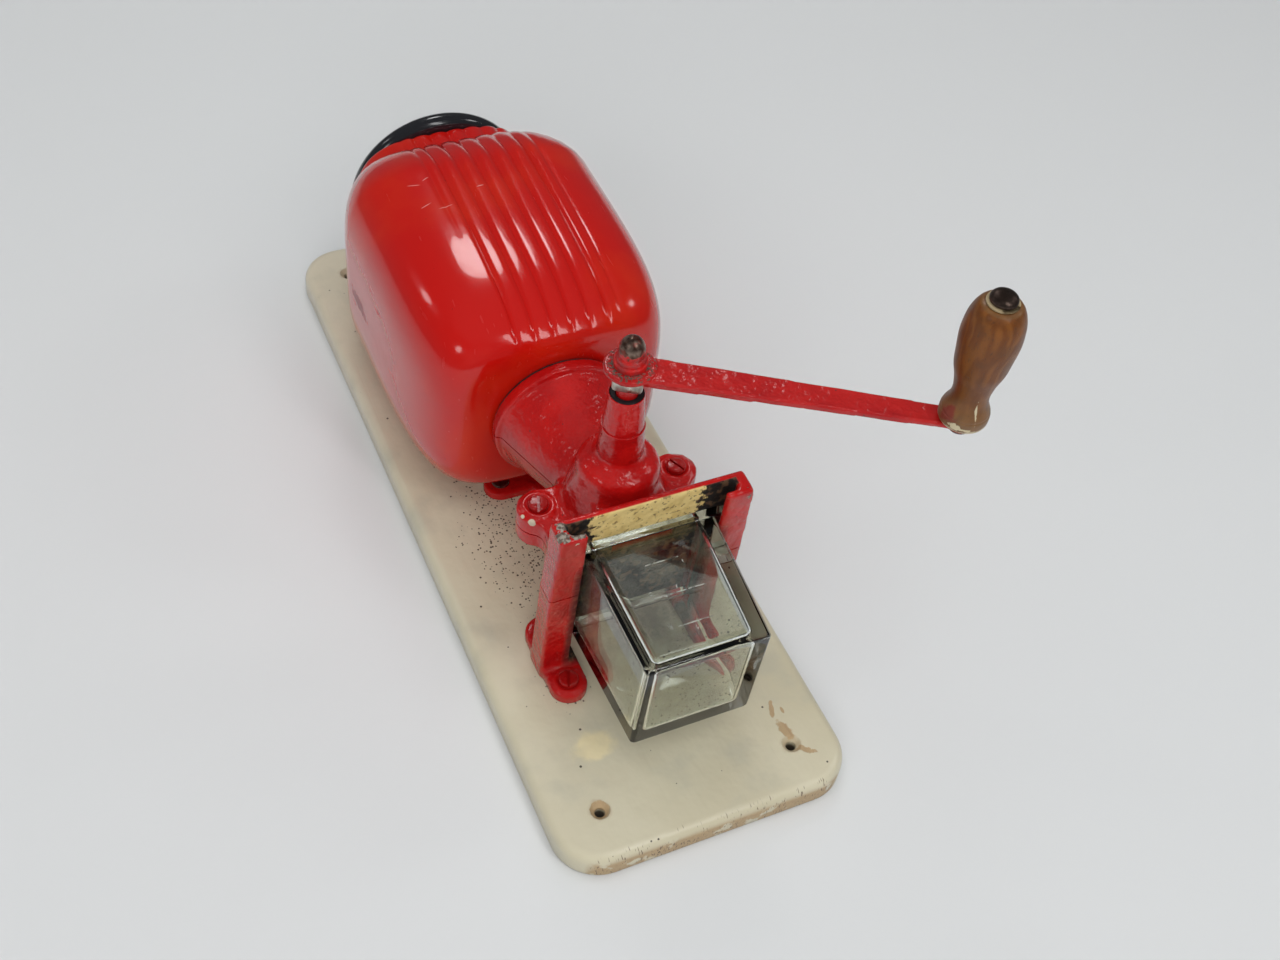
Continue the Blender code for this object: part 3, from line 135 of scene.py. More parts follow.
# The bore through the grip and the crank's end, and the half width of the spindle's square end
GRIP_BORE = 0.0029
SQUARE_HALF = 0.0034


# ---- meshes


def gather(*parts):
    """One mesh that holds several meshes side by side."""
    whole = bmesh.new()
    for part in parts:
        mesh = bpy.data.meshes.new("part")
        part.to_mesh(mesh)
        part.free()
        whole.from_mesh(mesh)
        bpy.data.meshes.remove(mesh)
    return whole


def cleaned(bm):
    """The mesh with its doubles merged and every face turned outwards."""
    bmesh.ops.remove_doubles(bm, verts=bm.verts, dist=0.00001)
    bmesh.ops.recalc_face_normals(bm, faces=bm.faces)
    return bm


def modified(bm, *steps):
    """The mesh after a row of modifiers, each given as its type and its settings."""
    mesh = bpy.data.meshes.new("modified")
    bm.to_mesh(mesh)
    bm.free()
    held = bpy.data.objects.new("modified", mesh)
    bpy.context.scene.collection.objects.link(held)
    for kind, settings in steps:
        modifier = held.modifiers.new(kind, kind)
        for name, value in settings.items():
            setattr(modifier, name, value)
    bpy.context.view_layer.update()
    result = bmesh.new()
    result.from_mesh(held.evaluated_get(bpy.context.evaluated_depsgraph_get()).to_mesh())
    bpy.data.objects.remove(held)
    bpy.data.meshes.remove(mesh)
    return result


def combined(base, tool, operation, solver="MANIFOLD"):
    """The Boolean of two closed meshes."""
    mesh = bpy.data.meshes.new("tool")
    tool.to_mesh(mesh)
    tool.free()
    held = bpy.data.objects.new("tool", mesh)
    bpy.context.scene.collection.objects.link(held)
    result = modified(base, ("BOOLEAN", {"solver": solver, "operation": operation, "object": held}))
    bpy.data.objects.remove(held)
    bpy.data.meshes.remove(mesh)
    return result


def cut(base, *tools):
    """A mesh with every tool taken out of it."""
    for tool in tools:
        base = combined(base, tool, "DIFFERENCE")
    return base


def joined(base, *others):
    """The union of closed meshes."""
    for other in others:
        base = combined(base, other, "UNION")
    return base


def turned(profile, steps=64, closed=False):
    """A solid of revolution round Z from (radius, height) points."""
    bm = bmesh.new()
    points = [bm.verts.new((radius, 0, height)) for radius, height in profile]
    edges = [bm.edges.new(pair) for pair in zip(points, points[1:])]
    if closed:
        edges.append(bm.edges.new((points[-1], points[0])))
    bmesh.ops.spin(bm, geom=points + edges, cent=(0, 0, 0), axis=(0, 0, 1), angle=2 * pi, steps=steps,
                   use_merge=True)
    return cleaned(bm)


def disc(radius, low, high, steps=64):
    """A plain cylinder round Z."""
    return turned([(0, low), (radius, low), (radius, high), (0, high)], steps)


def ring(inner, outer, low, high, edge=0.0003, steps=64):
    """A ring round Z with its outer edges rounded."""
    profile = [(inner, low)] + rounding(outer, low, edge, 3, foot=True)
    return turned(profile + rounding(outer, high, edge, 3) + [(inner, high)], steps, closed=True)


def arc(centre, radius, start, end, steps, high=None):
    """Points on an arc between two angles. A height makes it oval."""
    angles = [start + (end - start) * step / steps for step in range(steps + 1)]
    high = high or radius
    return [(centre[0] + radius * cos(a), centre[1] + high * sin(a)) for a in angles]


def rounding(radius, height, edge, steps, foot=False):
    """The round outer edge of a turned profile, at its top or at its foot."""
    if foot:
        return arc((radius - edge, height + edge), edge, -pi / 2, 0, steps)
    return arc((radius - edge, height - edge), edge, 0, pi / 2, steps)


def box(low, high):
    """A box between two corners."""
    bm = bmesh.new()
    bmesh.ops.create_cube(bm, size=1)
    bmesh.ops.scale(bm, verts=bm.verts, vec=Vector(high) - Vector(low))
    bmesh.ops.translate(bm, verts=bm.verts, vec=(Vector(high) + Vector(low)) / 2)
    return bm


def layer(low, high):
    """A box far wider than the mill, between two heights."""
    return box((-FAR, -FAR, low), (FAR, FAR, high))


def moved(bm, matrix):
    """The mesh after a move or a turn."""
    bmesh.ops.transform(bm, matrix=matrix, verts=bm.verts)
    return bm


def shifted(bm, x, y, z=0.0):
    """The mesh moved to a place."""
    return moved(bm, Matrix.Translation((x, y, z)))


def spun(bm, angle):
    """The mesh turned round Z."""
    return moved(bm, Matrix.Rotation(angle, 4, "Z"))


def on_shaft(bm):
    """A mesh made round Z, on the spindle's axis."""
    return shifted(bm, 0, SHAFT_Y)


def on_arm(bm):
    """A mesh made with the crank along +X from the spindle, turned to where the crank rests."""
    return on_shaft(spun(bm, ARM_ANGLE))


def along_y(bm):
    """A mesh made round Z, laid along +Y on the hopper's axis."""
    return moved(bm, Matrix.Translation((0, 0, PARTING)) @ Matrix.Rotation(-pi / 2, 4, "X"))


def leaning(bm):
    """A mesh made in the bracket's frame: plate face at y = 0, parting plane at z = 0."""
    return moved(bm, Matrix.Translation((0, PLATE_Y, PARTING)) @ Matrix.Rotation(LEAN, 4, "X"))


def between(first, second):
    """The convex form that wraps two meshes."""
    bm = bmesh.new()
    for mesh in (first, second):
        for vert in mesh.verts:
            bm.verts.new(vert.co)
        mesh.free()
    result = bmesh.ops.convex_hull(bm, input=bm.verts)
    inner = [item for item in result["geom_interior"] if isinstance(item, bmesh.types.BMVert)]
    bmesh.ops.delete(bm, geom=inner, context="VERTS")
    return cleaned(bm)


def skin(rings, capped=False):
    """A skin through rings of equal length, each extruded from the one before."""
    bm = bmesh.new()
    index = bm.verts.layers.int.new("index")
    verts = [bm.verts.new(point) for point in rings[0]]
    for number, vert in enumerate(verts):
        vert[index] = number
    edges = [bm.edges.new((vert, verts[(number + 1) % len(verts)])) for number, vert in enumerate(verts)]
    for points in rings[1:]:
        grown = bmesh.ops.extrude_edge_only(bm, edges=edges)["geom"]
        fresh = {item for item in grown if isinstance(item, bmesh.types.BMVert)}
        edges = [item for item in grown if isinstance(item, bmesh.types.BMEdge) and set(item.verts) <= fresh]
        for vert in fresh:
            vert.co = points[vert[index]]
    if capped:
        bmesh.ops.holes_fill(bm, edges=[edge for edge in bm.edges if len(edge.link_faces) == 1], sides=0)
    return cleaned(bm)


def rounded(bm, width, segments, wanted):
    """Bevel the edges that a test picks."""
    bmesh.ops.bevel(bm, geom=[edge for edge in bm.edges if wanted(edge)], offset=width, offset_type="OFFSET",
                    affect="EDGES", segments=segments, profile=0.5, material=-1)
    return bm


def sharp(edge):
    """Whether two faces meet at an edge with a clear bend."""
    return len(edge.link_faces) == 2 and edge.calc_face_angle() > radians(60)


def upright(edge):
    """Whether an edge runs along Z."""
    return edge.verts[0].co.xy == edge.verts[1].co.xy


def level(item, axis, place):
    """Whether every corner of an edge or a face lies at one place along an axis."""
    return all(abs(vert.co[axis] - place) < PLAY / 10 for vert in item.verts)


def smooth(share):
    """An even start and end between 0 and 1."""
    share = min(1, max(0, share))
    return share * share * (3 - 2 * share)


def fused(bm, voxel, fillet, softness):
    """Melt overlapping solids into one skin, with filled inside corners and softened edges."""
    remesh = ("REMESH", {"mode": "VOXEL", "voxel_size": voxel})
    steps = [remesh]
    if fillet:
        steps += [("DISPLACE", {"strength": fillet, "mid_level": 0.0}), remesh,
                  ("DISPLACE", {"strength": -fillet, "mid_level": 0.0}), remesh]
    if softness:
        steps.append(("SMOOTH", {"factor": 0.5, "iterations": softness}))
    return modified(bm, *steps)


def mark_edges(bm, passes, size):
    """Store on each vertex how far it stands out of a smoothed copy, as a share of a size."""
    calm = bm.copy()
    for _ in range(passes):
        bmesh.ops.smooth_vert(calm, verts=calm.verts, factor=0.5, use_axis_x=True, use_axis_y=True, use_axis_z=True)
    bm.normal_update()
    edge = bm.verts.layers.float.new("edge")
    for vert, soft in zip(bm.verts, calm.verts):
        vert[edge] = (vert.co - soft.co).dot(vert.normal) / size
    calm.free()
    return bm


def piece(name, bm, look, body, replaces=(), angle=35):
    """Make one named piece, which rides on a body and may stand for nodes of the frame."""
    mesh = bpy.data.meshes.new(name)
    bm.to_mesh(mesh)
    bm.free()
    mesh.shade_smooth()
    mesh.set_sharp_from_angle(angle=radians(angle))
    mesh.materials.append(look)
    made = bpy.data.objects.new(name, mesh)
    bpy.context.scene.collection.objects.link(made)
    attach(made, body)
    if replaces:
        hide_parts(*replaces)
    return made


def dress(names, look):
    """Give nodes of the frame a finish."""
    for name in names:
        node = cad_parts[name]
        node.data.materials.clear()
        node.data.materials.append(look)


# ---- shader nodes


def rgba(colour):
    """A colour with full alpha, from a grey or from three channels. A socket stays as it is."""
    if isinstance(colour, bpy.types.NodeSocket):
        return colour
    return (*((colour,) * 3 if isinstance(colour, float) else colour), 1.0)


def tinted(colour, *shares):
    """A colour with each channel scaled."""
    return tuple(channel * share for channel, share in zip(colour, shares))


class Nodes:
    """A node tree that is being filled, the place its textures read, and short ways to add to it."""

    def __init__(self, tree, place="Object"):
        self.tree = tree
        self.place = self.add("TexCoord").outputs[place] if isinstance(place, str) else place

    def add(self, kind, inputs=None, **settings):
        """Add one node. Each input is a value, or a socket that gets linked."""
        made = self.tree.nodes.new("ShaderNode" + kind)
        for name, value in settings.items():
            setattr(made, name, value)
        for key, value in (inputs or {}).items():
            if isinstance(value, bpy.types.NodeSocket):
                self.tree.links.new(value, made.inputs[key])
            else:
                made.inputs[key].default_value = value
        return made

    def calc(self, operation, first, second=0.0, clamp=False):
        """One step of arithmetic on values."""
        return self.add("Math", {0: first, 1: second}, operation=operation, use_clamp=clamp).outputs[0]

    def plus(self, first, second):
        """The sum of two values."""
        return self.calc("ADD", first, second)

    def times(self, first, *others):
        """The product of several values."""
        for other in others:
            first = self.calc("MULTIPLY", first, other)
        return first

    def most(self, first, *others):
        """The largest of several values."""
        for other in others:
            first = self.calc("MAXIMUM", first, other)
        return first

    def without(self, share):
        """What a share leaves of one."""
        return self.calc("SUBTRACT", 1.0, share, clamp=True)

    def vector(self, operation, first, second=(0.0, 0.0, 0.0), result=0):
        """One step of arithmetic on vectors."""
        return self.add("VectorMath", {0: first, 1: second}, operation=operation).outputs[result]

    def axis(self, index, place=None):
        """One coordinate of a place."""
        return self.add("SeparateXYZ", {0: place or self.place}).outputs[index]

    def remap(self, value, low, high, to_low=0.0, to_high=1.0):
        """A value carried from one range to another with an even start and end."""
        return self.add("MapRange", {"Value": value, "From Min": low, "From Max": high, "To Min": to_low,
                                     "To Max": to_high}, interpolation_type="SMOOTHSTEP").outputs[0]

    def mixed(self, share, first, second, amount=1.0):
        """Two colours mixed by a share, which an amount may weaken."""
        share = share if amount == 1.0 else self.times(share, amount)
        return self.add("Mix", {0: share, 6: rgba(first), 7: rgba(second)}, data_type="RGBA").outputs[2]

    def noise(self, scale, detail=2.0, roughness=0.5, distortion=0.0, place=None):
        """Soft noise between 0 and 1."""
        return self.add("TexNoise", {"Vector": place or self.place, "Scale": scale, "Detail": detail,
                                     "Roughness": roughness, "Distortion": distortion}).outputs[0]

    def jitter(self, amount, scale, detail=4.0, roughness=0.5):
        """Noise that swings evenly round zero."""
        return self.times(self.calc("SUBTRACT", self.noise(scale, detail, roughness), 0.5), amount)

    def group(self, name, place=None, **inputs):
        """Place a shared group, made the first time it is needed, and return its outputs."""
        shared = bpy.data.node_groups.get(name) or GROUPS[name]()
        return self.add("Group", {"Vector": place or self.place, **inputs}, node_tree=shared).outputs

    def clouds(self, scale, low, high, detail=4.0, place=None):
        """Noise with a chosen contrast."""
        return self.group("Clouds", place, Scale=scale, Detail=detail, Low=low, High=high)[0]

    def specks(self, scale, share, size):
        """Small round specks."""
        return self.group("Specks", Scale=scale, Share=share, Size=size)[0]

    def blotches(self, spots, **shared):
        """The largest of several blotches, each given as its centre, its size and any settings of its own."""
        masks = [self.group("Blotch", Centre=centre, Size=size, **{**shared, **dict(*own)})[0]
                 for centre, size, *own in spots]
        return self.most(*masks)

    def bumps(self, *heights):
        """A normal from several heights, each given as (height, distance, strength)."""
        under = {}
        for height, distance, strength in heights:
            bump = self.add("Bump", {"Height": height, "Distance": distance, "Strength": strength, **under})
            under = {"Normal": bump.outputs[0]}
        return under["Normal"]

    def feed(self, **sockets):
        """Link sockets to the shader's inputs."""
        shader = self.tree.nodes["Principled BSDF"]
        for label, socket in sockets.items():
            self.tree.links.new(socket, shader.inputs[label.replace("_", " ")])


def new_group(name, gives=("Mask",), **takes):
    """An empty group of nodes with named inputs and outputs."""
    tree = bpy.data.node_groups.new(name, "ShaderNodeTree")
    for label, default in {"Vector": (0.0, 0.0, 0.0), **takes}.items():
        kind = "NodeSocketVector" if isinstance(default, tuple) else "NodeSocketFloat"
        socket = tree.interface.new_socket(name=label, in_out="INPUT", socket_type=kind)
        socket.default_value = default
    for label in gives:
        tree.interface.new_socket(name=label, in_out="OUTPUT", socket_type="NodeSocketFloat")
    given = tree.nodes.new("NodeGroupInput").outputs
    return tree, Nodes(tree, given["Vector"]), given, tree.nodes.new("NodeGroupOutput").inputs


def blotch_group():
    """A patch with a ragged edge round one place."""
    tree, n, given, result = new_group("Blotch", Centre=(0.0, 0.0, 0.0), Size=(0.01, 0.01, 0.01), Turn=0.0,
                                       Ragged=0.5, Grain=400.0, Soft=0.3)
    away = n.vector("SUBTRACT", given["Vector"], given["Centre"])
    level = n.add("VectorRotate", {"Vector": away, "Angle": given["Turn"]}, rotation_type="Z_AXIS").outputs[0]
    reach = n.vector("LENGTH", n.vector("DIVIDE", level, given["Size"]), result="Value")
    ragged = n.plus(reach, n.jitter(given["Ragged"], given["Grain"]))
    tree.links.new(n.remap(ragged, 1.0, n.calc("SUBTRACT", 1.0, given["Soft"])), result["Mask"])
    return tree


def specks_group():
    """Small round specks, some of them left out at random."""
    tree, n, given, result = new_group("Specks", Scale=500.0, Share=0.2, Size=0.25)
    cells = n.add("TexVoronoi", {"Vector": given["Vector"], "Scale": given["Scale"]})
    chance = n.add("SeparateColor", {0: cells.outputs["Color"]})
    size = n.times(given["Size"], n.remap(chance.outputs[1], 0.0, 1.0, 0.35, 1.0))
    dot = n.calc("LESS_THAN", cells.outputs["Distance"], size)
    kept = n.calc("LESS_THAN", chance.outputs[0], given["Share"])
    tree.links.new(n.times(dot, kept), result["Mask"])
    return tree


def clouds_group():
    """Noise with a chosen contrast."""
    tree, n, given, result = new_group("Clouds", Scale=50.0, Detail=4.0, Low=0.4, High=0.6)
    tree.links.new(n.remap(n.noise(given["Scale"], given["Detail"]), given["Low"], given["High"]), result["Mask"])
    return tree


def wood_group():
    """Wood grain: long fibres, and broad rings cut along their length."""
    tree, n, given, result = new_group("Wood grain", ("Fibre", "Ring", "Pore"), Stretch=(90.0, 6.0, 90.0), Rings=1.0)
    n.place = n.vector("MULTIPLY", given["Vector"], given["Stretch"])
    tree.links.new(n.noise(12.0, 6.0, 0.65), result["Fibre"])
    wave = n.calc("SINE", n.times(n.noise(given["Rings"], 2.0, 0.5, 0.6), 46.0))
    tree.links.new(n.remap(wave, -1.0, 1.0), result["Ring"])
    tree.links.new(n.remap(n.noise(34.0), 0.62, 0.70), result["Pore"])
    return tree


def worn_edge_group():
    """Where paint has gone from outside edges: the edge mark broken up by noise."""
    tree, n, given, result = new_group("Worn edges", Edge=0.0, Amount=0.5, Grain=300.0)
    level = n.times(given["Edge"], n.noise(given["Grain"], 5.0, 0.6), n.noise(45.0))
    limit = n.calc("SUBTRACT", 1.0, given["Amount"])
    tree.links.new(n.remap(level, limit, n.plus(limit, 0.05)), result["Mask"])
    return tree


GROUPS = {"Blotch": blotch_group, "Specks": specks_group, "Clouds": clouds_group, "Wood grain": wood_group,
          "Worn edges": worn_edge_group}


def finish(name, **constants):
    """A new material and its nodes."""
    look = bpy.data.materials.new(name)
    look.use_nodes = True
    for label, value in constants.items():
        look.node_tree.nodes["Principled BSDF"].inputs[label.replace("_", " ")].default_value = value
    return look, Nodes(look.node_tree)


# ---- finishes


# Bare flakes on the board's face: place, size and settings of each. The last is a ring round a hole.
FLAKES = [((0.0431, -0.1505, BOARD_TOP), (0.0011, 0.0055, 0.003), {"Turn": 0.35, "Ragged": 1.5}),
          ((0.0443, -0.1615, BOARD_TOP), (0.0026, 0.0060, 0.003), {"Turn": -0.25, "Ragged": 1.3}),
          ((0.0480, -0.1725, BOARD_TOP), (0.0058, 0.0015, 0.003), {"Turn": 0.7, "Ragged": 1.8}),
          ((0.0475, -0.1520, BOARD_TOP), (0.0008, 0.0020, 0.003)),
          ((-0.0434, -0.1677, BOARD_TOP), (0.0043, 0.0043, 0.004), {"Ragged": 0.6, "Soft": 0.15})]


def board_paint(s):
    """Old cream oil paint on wood, with dust, flakes and bare end grain."""
    look, n = finish("cream_board_paint", Coat_Weight=0.25, Coat_Roughness=0.25)
    y, z = n.axis(1), n.axis(2)
    grain = n.group("Wood grain", Stretch=(60.0, 4.0, 60.0), Rings=0.8)
    paint = n.mixed(n.clouds(18.0, 0.35, 0.7), s.paint, (0.57, 0.52, 0.37))
    paint = n.mixed(n.remap(y, -0.05, 0.12, 0.0, 0.5), paint, (0.70, 0.62, 0.50))
    wood = n.mixed(grain["Fibre"], (0.56, 0.42, 0.24), (0.33, 0.22, 0.12))
    # Yellowed patch by the left hole, painted brown shade below the hopper, stains, and brown rims round the holes
    yellow = n.blotches([((-0.0345, -0.1395, BOARD_TOP), (0.012, 0.009, 0.01))], Ragged=0.9, Grain=130.0, Soft=0.5)
    paint = n.mixed(yellow, paint, (0.80, 0.70, 0.43), 0.9)
    painted_shade = n.blotches([((across, up, BOARD_TOP), (0.017, 0.05, 0.02))
                        for across, up in ((-0.028, -0.018), (0.030, -0.02))], Ragged=1.2, Grain=60.0, Soft=0.9)
    paint = n.mixed(painted_shade, paint, (0.42, 0.32, 0.22), 0.12)
    paint = n.mixed(n.clouds(42.0, 0.50, 0.74, 5.0), paint, (0.47, 0.45, 0.35), 0.55)
    rims = n.blotches([((*hole, BOARD_TOP), (0.0056, 0.0056, 0.004)) for hole in WALL_HOLES],
                      Ragged=0.7, Grain=260.0, Soft=0.5)
    paint = n.mixed(rims, paint, (0.36, 0.24, 0.12), 0.55)
    # Bare wood on the end grain, the lower front edge, the back and the flakes by the holes
    end = n.remap(n.calc("SUBTRACT", n.times(y, -1.0), n.times(n.noise(90.0, 4.0), 0.006)), 0.1830, 0.1855)
    low = n.remap(z, BOARD_TOP - 0.0015, BOARD_TOP - 0.005)
    worn = n.times(end, low, n.clouds(150.0, 0.36, 0.46, 5.0))
    bare = n.most(worn, n.blotches(FLAKES), n.remap(z, 0.0006, 0.0002))
    colour = n.mixed(bare, paint, wood)
    # Dark ticks where the saw left the end grain open
    saw = n.clouds(1500.0, 0.60, 0.66, 1.0, n.vector("MULTIPLY", n.place, (1.0, 0.12, 0.25)))
    ticks = n.times(saw, end, n.clouds(110.0, 0.50, 0.56, 2.0))
    colour = n.mixed(ticks, colour, (0.16, 0.11, 0.07), 0.85)
    # Specks everywhere, thick below the hopper and round the feet
    broad = {"Ragged": 0.8, "Grain": 50.0, "Soft": 0.9}
    dusty = n.blotches([((-0.025, -0.025, BOARD_TOP), (0.026, 0.075, 0.02), broad),
                        ((0.022, -0.030, BOARD_TOP), (0.026, 0.075, 0.02), broad),
                        ((-0.034, -0.107, BOARD_TOP), (0.014, 0.018, 0.02)),
                        ((0.034, -0.107, BOARD_TOP), (0.014, 0.018, 0.02))], Soft=0.8)
    specks = n.most(n.specks(900.0, n.times(dusty, 0.6), 0.46), n.specks(300.0, 0.11, 0.17))
    colour = n.mixed(specks, colour, (0.030, 0.020, 0.014), 0.9)
    # Painted shade makes the drilled holes dark inside
    painted_hole_shade = n.blotches([((*hole, BOARD_TOP - 0.007), (0.0029, 0.0029, 0.0062)) for hole in WALL_HOLES],
                       Ragged=0.1, Soft=0.2)
    n.feed(Base_Color=n.mixed(painted_hole_shade, colour, (0.05, 0.03, 0.018), 0.9), Roughness=n.mixed(bare, 0.34, 0.75),
           Normal=n.bumps((grain["Fibre"], 0.0003, n.plus(n.times(bare, 0.6), 0.10)), (grain["Ring"], 0.0002, 0.12),
                          (n.noise(60.0, 3.0), 0.0014, 0.8), (n.times(bare, -1.0), 0.00015, 0.8),
                          (specks, 0.0002, 0.6)))
    return look


def red_paint(name, colour, edge_wear, spots=(), primer_spots=(), soiled=None):
    """Thick red gloss paint on iron: orange peel, grime in the pits, and chips. A function may soil it further."""
    full_coat = 0.4
    look, n = finish(name, Coat_Weight=full_coat, Coat_Roughness=0.07, Specular_IOR_Level=0.35)
    edge = n.add("Attribute", attribute_name="edge").outputs["Fac"]
    result = n.mixed(n.clouds(55.0, 0.35, 0.7), colour, tinted(colour, 0.78, 0.6, 0.8))
    grime = n.times(n.remap(edge, -0.05, -0.55), n.clouds(160.0, 0.30, 0.65))
    result = n.mixed(grime, result, (0.10, 0.008, 0.010), 0.7)
    chips = n.group("Worn edges", Edge=edge, Amount=edge_wear, Grain=420.0)[0]
    if spots:
        chips = n.most(chips, n.blotches(spots))
    iron = n.mixed(n.clouds(700.0, 0.40, 0.62), (0.10, 0.070, 0.055), (0.34, 0.30, 0.25))
    result = n.mixed(chips, result, iron)
    if primer_spots:
        primer = n.blotches(primer_spots)
        result = n.mixed(primer, result, (0.56, 0.49, 0.37))
        chips = n.most(chips, primer)
    result = n.mixed(n.specks(420.0, 0.035, 0.2), result, (0.12, 0.02, 0.02), 0.8)
    rough = n.mixed(n.most(chips, n.times(grime, 0.6)), 0.22, 0.62)
    coat = n.times(n.without(chips), full_coat)
    if soiled:
        result, rough, coat = soiled(n, result, rough, coat)
    n.feed(Base_Color=result, Roughness=rough, Coat_Weight=coat,
           Normal=n.bumps((n.noise(95.0, 3.0), 0.0022, 0.75), (n.noise(380.0), 0.00032, 0.7),
                          (n.times(chips, -1.0), 0.0002, 0.8)))
    return look


def plate_grime(n, colour, rough, coat):
    """The pale patch and the black grime on the plate's face, and coffee in the chute and behind the glass."""
    x, y, z = (n.axis(index) for index in range(3))
    # How far a place lies in front of the plate's leaning face
    ahead = n.plus(n.plus(y, -PLATE_Y), n.times(n.calc("SUBTRACT", z, PARTING), tan(LEAN)))
    reach = n.calc("ABSOLUTE", x)
    face = n.times(n.remap(ahead, 0.0009, 0.0003), n.remap(ahead, -0.0030, -0.0022),
                   n.remap(reach, CHANNEL_HALF + 0.0012, CHANNEL_HALF + 0.0004), n.remap(z, PARTING, PARTING + 0.002))
    ragged = n.plus(n.calc("ABSOLUTE", n.plus(x, 0.001)), n.jitter(0.022, 260.0, 5.0, 0.6))
    patch = n.remap(ragged, 0.0245, 0.0225)
    cream = n.mixed(n.clouds(240.0, 0.4, 0.65), (0.74, 0.56, 0.23), (0.64, 0.46, 0.17))
    cream = n.mixed(n.clouds(520.0, 0.58, 0.64, 5.0), cream, (0.17, 0.10, 0.04), 0.75)
    grimy = n.clouds(300.0, 0.5, 0.62, 5.0)
    grime = n.mixed(grimy, (0.012, 0.010, 0.009), (0.10, 0.055, 0.03))
    coffee = n.times(n.remap(ahead, 0.0040, 0.0008), n.remap(ahead, -0.0120, -0.0060),
                     n.remap(reach, 0.0345, 0.0315), n.remap(z, PARTING + 0.022, PARTING + 0.012))
    dirt = n.mixed(grimy, (0.016, 0.012, 0.010), (0.12, 0.070, 0.038))
    changed = n.most(face, coffee)
    return (n.mixed(coffee, n.mixed(face, colour, n.mixed(patch, grime, cream)), dirt),
            n.mixed(changed, rough, 0.7), n.times(coat, n.without(changed)))


def casting_paint(s):
    """The castings' paint, chipped at the plate's corners and on the left lug."""
    corner = {"Ragged": 1.9, "Grain": 900.0, "Soft": 0.1}
    chip = {"Ragged": 0.8, "Soft": 0.2}
    spots = [((-0.0395, -0.1035, 0.1085), (0.0032, 0.0030, 0.0018), corner),
             ((-0.0320, -0.1045, 0.1085), (0.0045, 0.0022, 0.0010), corner),
             ((-0.0380, -0.0990, 0.1095), (0.0026, 0.0022, 0.0014), corner),
             ((0.0390, -0.1045, 0.1050), (0.0022, 0.0022, 0.0030), corner)]
    primer = [((-0.0368, -0.0690, 0.0762), (0.0018, 0.0018, 0.0019), chip),
              ((-0.0394, -0.0650, 0.0768), (0.0011, 0.0011, 0.0011), chip),
              ((-0.0345, -0.1046, 0.1060), (0.0012, 0.003, 0.0009), corner)]
    return red_paint("red_casting_paint", s.paint, 0.34, spots, primer, plate_grime)


# Scratches on the hopper: place, half length, half width and turn of each
SCRATCHES = [((-0.0305, 0.0790, 0.1225), 0.0034, 0.00030, -0.33), ((-0.0228, 0.0752, 0.1230), 0.0042, 0.00030, -0.10),
             ((-0.0310, 0.0938, 0.1225), 0.0036, 0.00028, 0.30), ((-0.0250, 0.0962, 0.1230), 0.0026, 0.00025, -0.5),
             ((-0.0035, 0.0842, 0.1230), 0.0020, 0.00035, -0.1)]


def hopper_gloss(s):
    """Deep red gloss with fine scratches, pin marks and a worn scuff on the left side."""
    look, n = finish("red_hopper_gloss", Coat_Weight=0.5, Coat_Roughness=0.035, Specular_IOR_Level=0.3)
    colour = n.mixed(n.clouds(22.0, 0.45, 0.72), s.colour, tinted(s.colour, 1.08, 3.2, 1.3))
    pits = n.specks(300.0, 0.045, 0.13)
    lines = n.clouds(1.0, 0.70, 0.74, 2.0, n.vector("MULTIPLY", n.place, (420.0, 60.0, 200.0)))
    scratches = n.blotches([(place, (half, thin, 0.006), {"Turn": turn}) for place, half, thin, turn in SCRATCHES],
                           Ragged=0.5, Grain=900.0, Soft=0.5)
    scuff = n.blotches([((-0.0605, 0.087, 0.066), (0.004, 0.014, 0.0045))], Ragged=1.6, Grain=260.0, Soft=0.4)
    colour = n.mixed(scratches, colour, (0.75, 0.35, 0.32), 0.8)
    colour = n.mixed(scuff, colour, (0.16, 0.012, 0.020), 0.75)
    colour = n.mixed(pits, colour, (0.10, 0.01, 0.01), 0.75)
    n.feed(Base_Color=colour, Roughness=n.mixed(n.most(scratches, scuff, lines), 0.17, 0.5),
           Normal=n.bumps((n.noise(34.0), 0.0012, 0.34), (n.noise(240.0), 0.00016, 0.30),
                          (n.times(n.most(scratches, pits), -1.0), 0.0001, 0.8)))
    return look


def black_gloss(s):
    """Shiny black, with a little dust."""
    look, n = finish("black_lid_gloss", Coat_Weight=0.35, Coat_Roughness=0.07)
    n.feed(Base_Color=n.mixed(n.specks(520.0, 0.06, 0.2), s.colour, (0.25, 0.24, 0.22), 0.5),
           Roughness=n.mixed(n.clouds(60.0, 0.5, 0.8, 5.0), 0.16, 0.32),
           Normal=n.bumps((n.noise(80.0), 0.0002, 0.3)))
    return look


def metal(name, colour, rough, tint=None, tint_share=0.5):
    """Bare metal with a mottled surface, and remains of paint or tarnish where a tint is given."""
    look, n = finish(name, Metallic=1.0)
    mottled = n.clouds(260.0, 0.35, 0.7, 5.0)
    result = n.mixed(mottled, colour, tinted(colour, 0.55, 0.52, 0.50))
    if tint:
        low = 1.0 - tint_share
        left = n.clouds(70.0, low - 0.04, low + 0.04, 5.0)
        result = n.mixed(left, result, tint)
        n.feed(Metallic=n.without(left))
    n.feed(Base_Color=result, Roughness=n.mixed(mottled, rough, rough + 0.22),
           Normal=n.bumps((n.noise(520.0, 3.0), 0.0001, 0.4)))
    return look


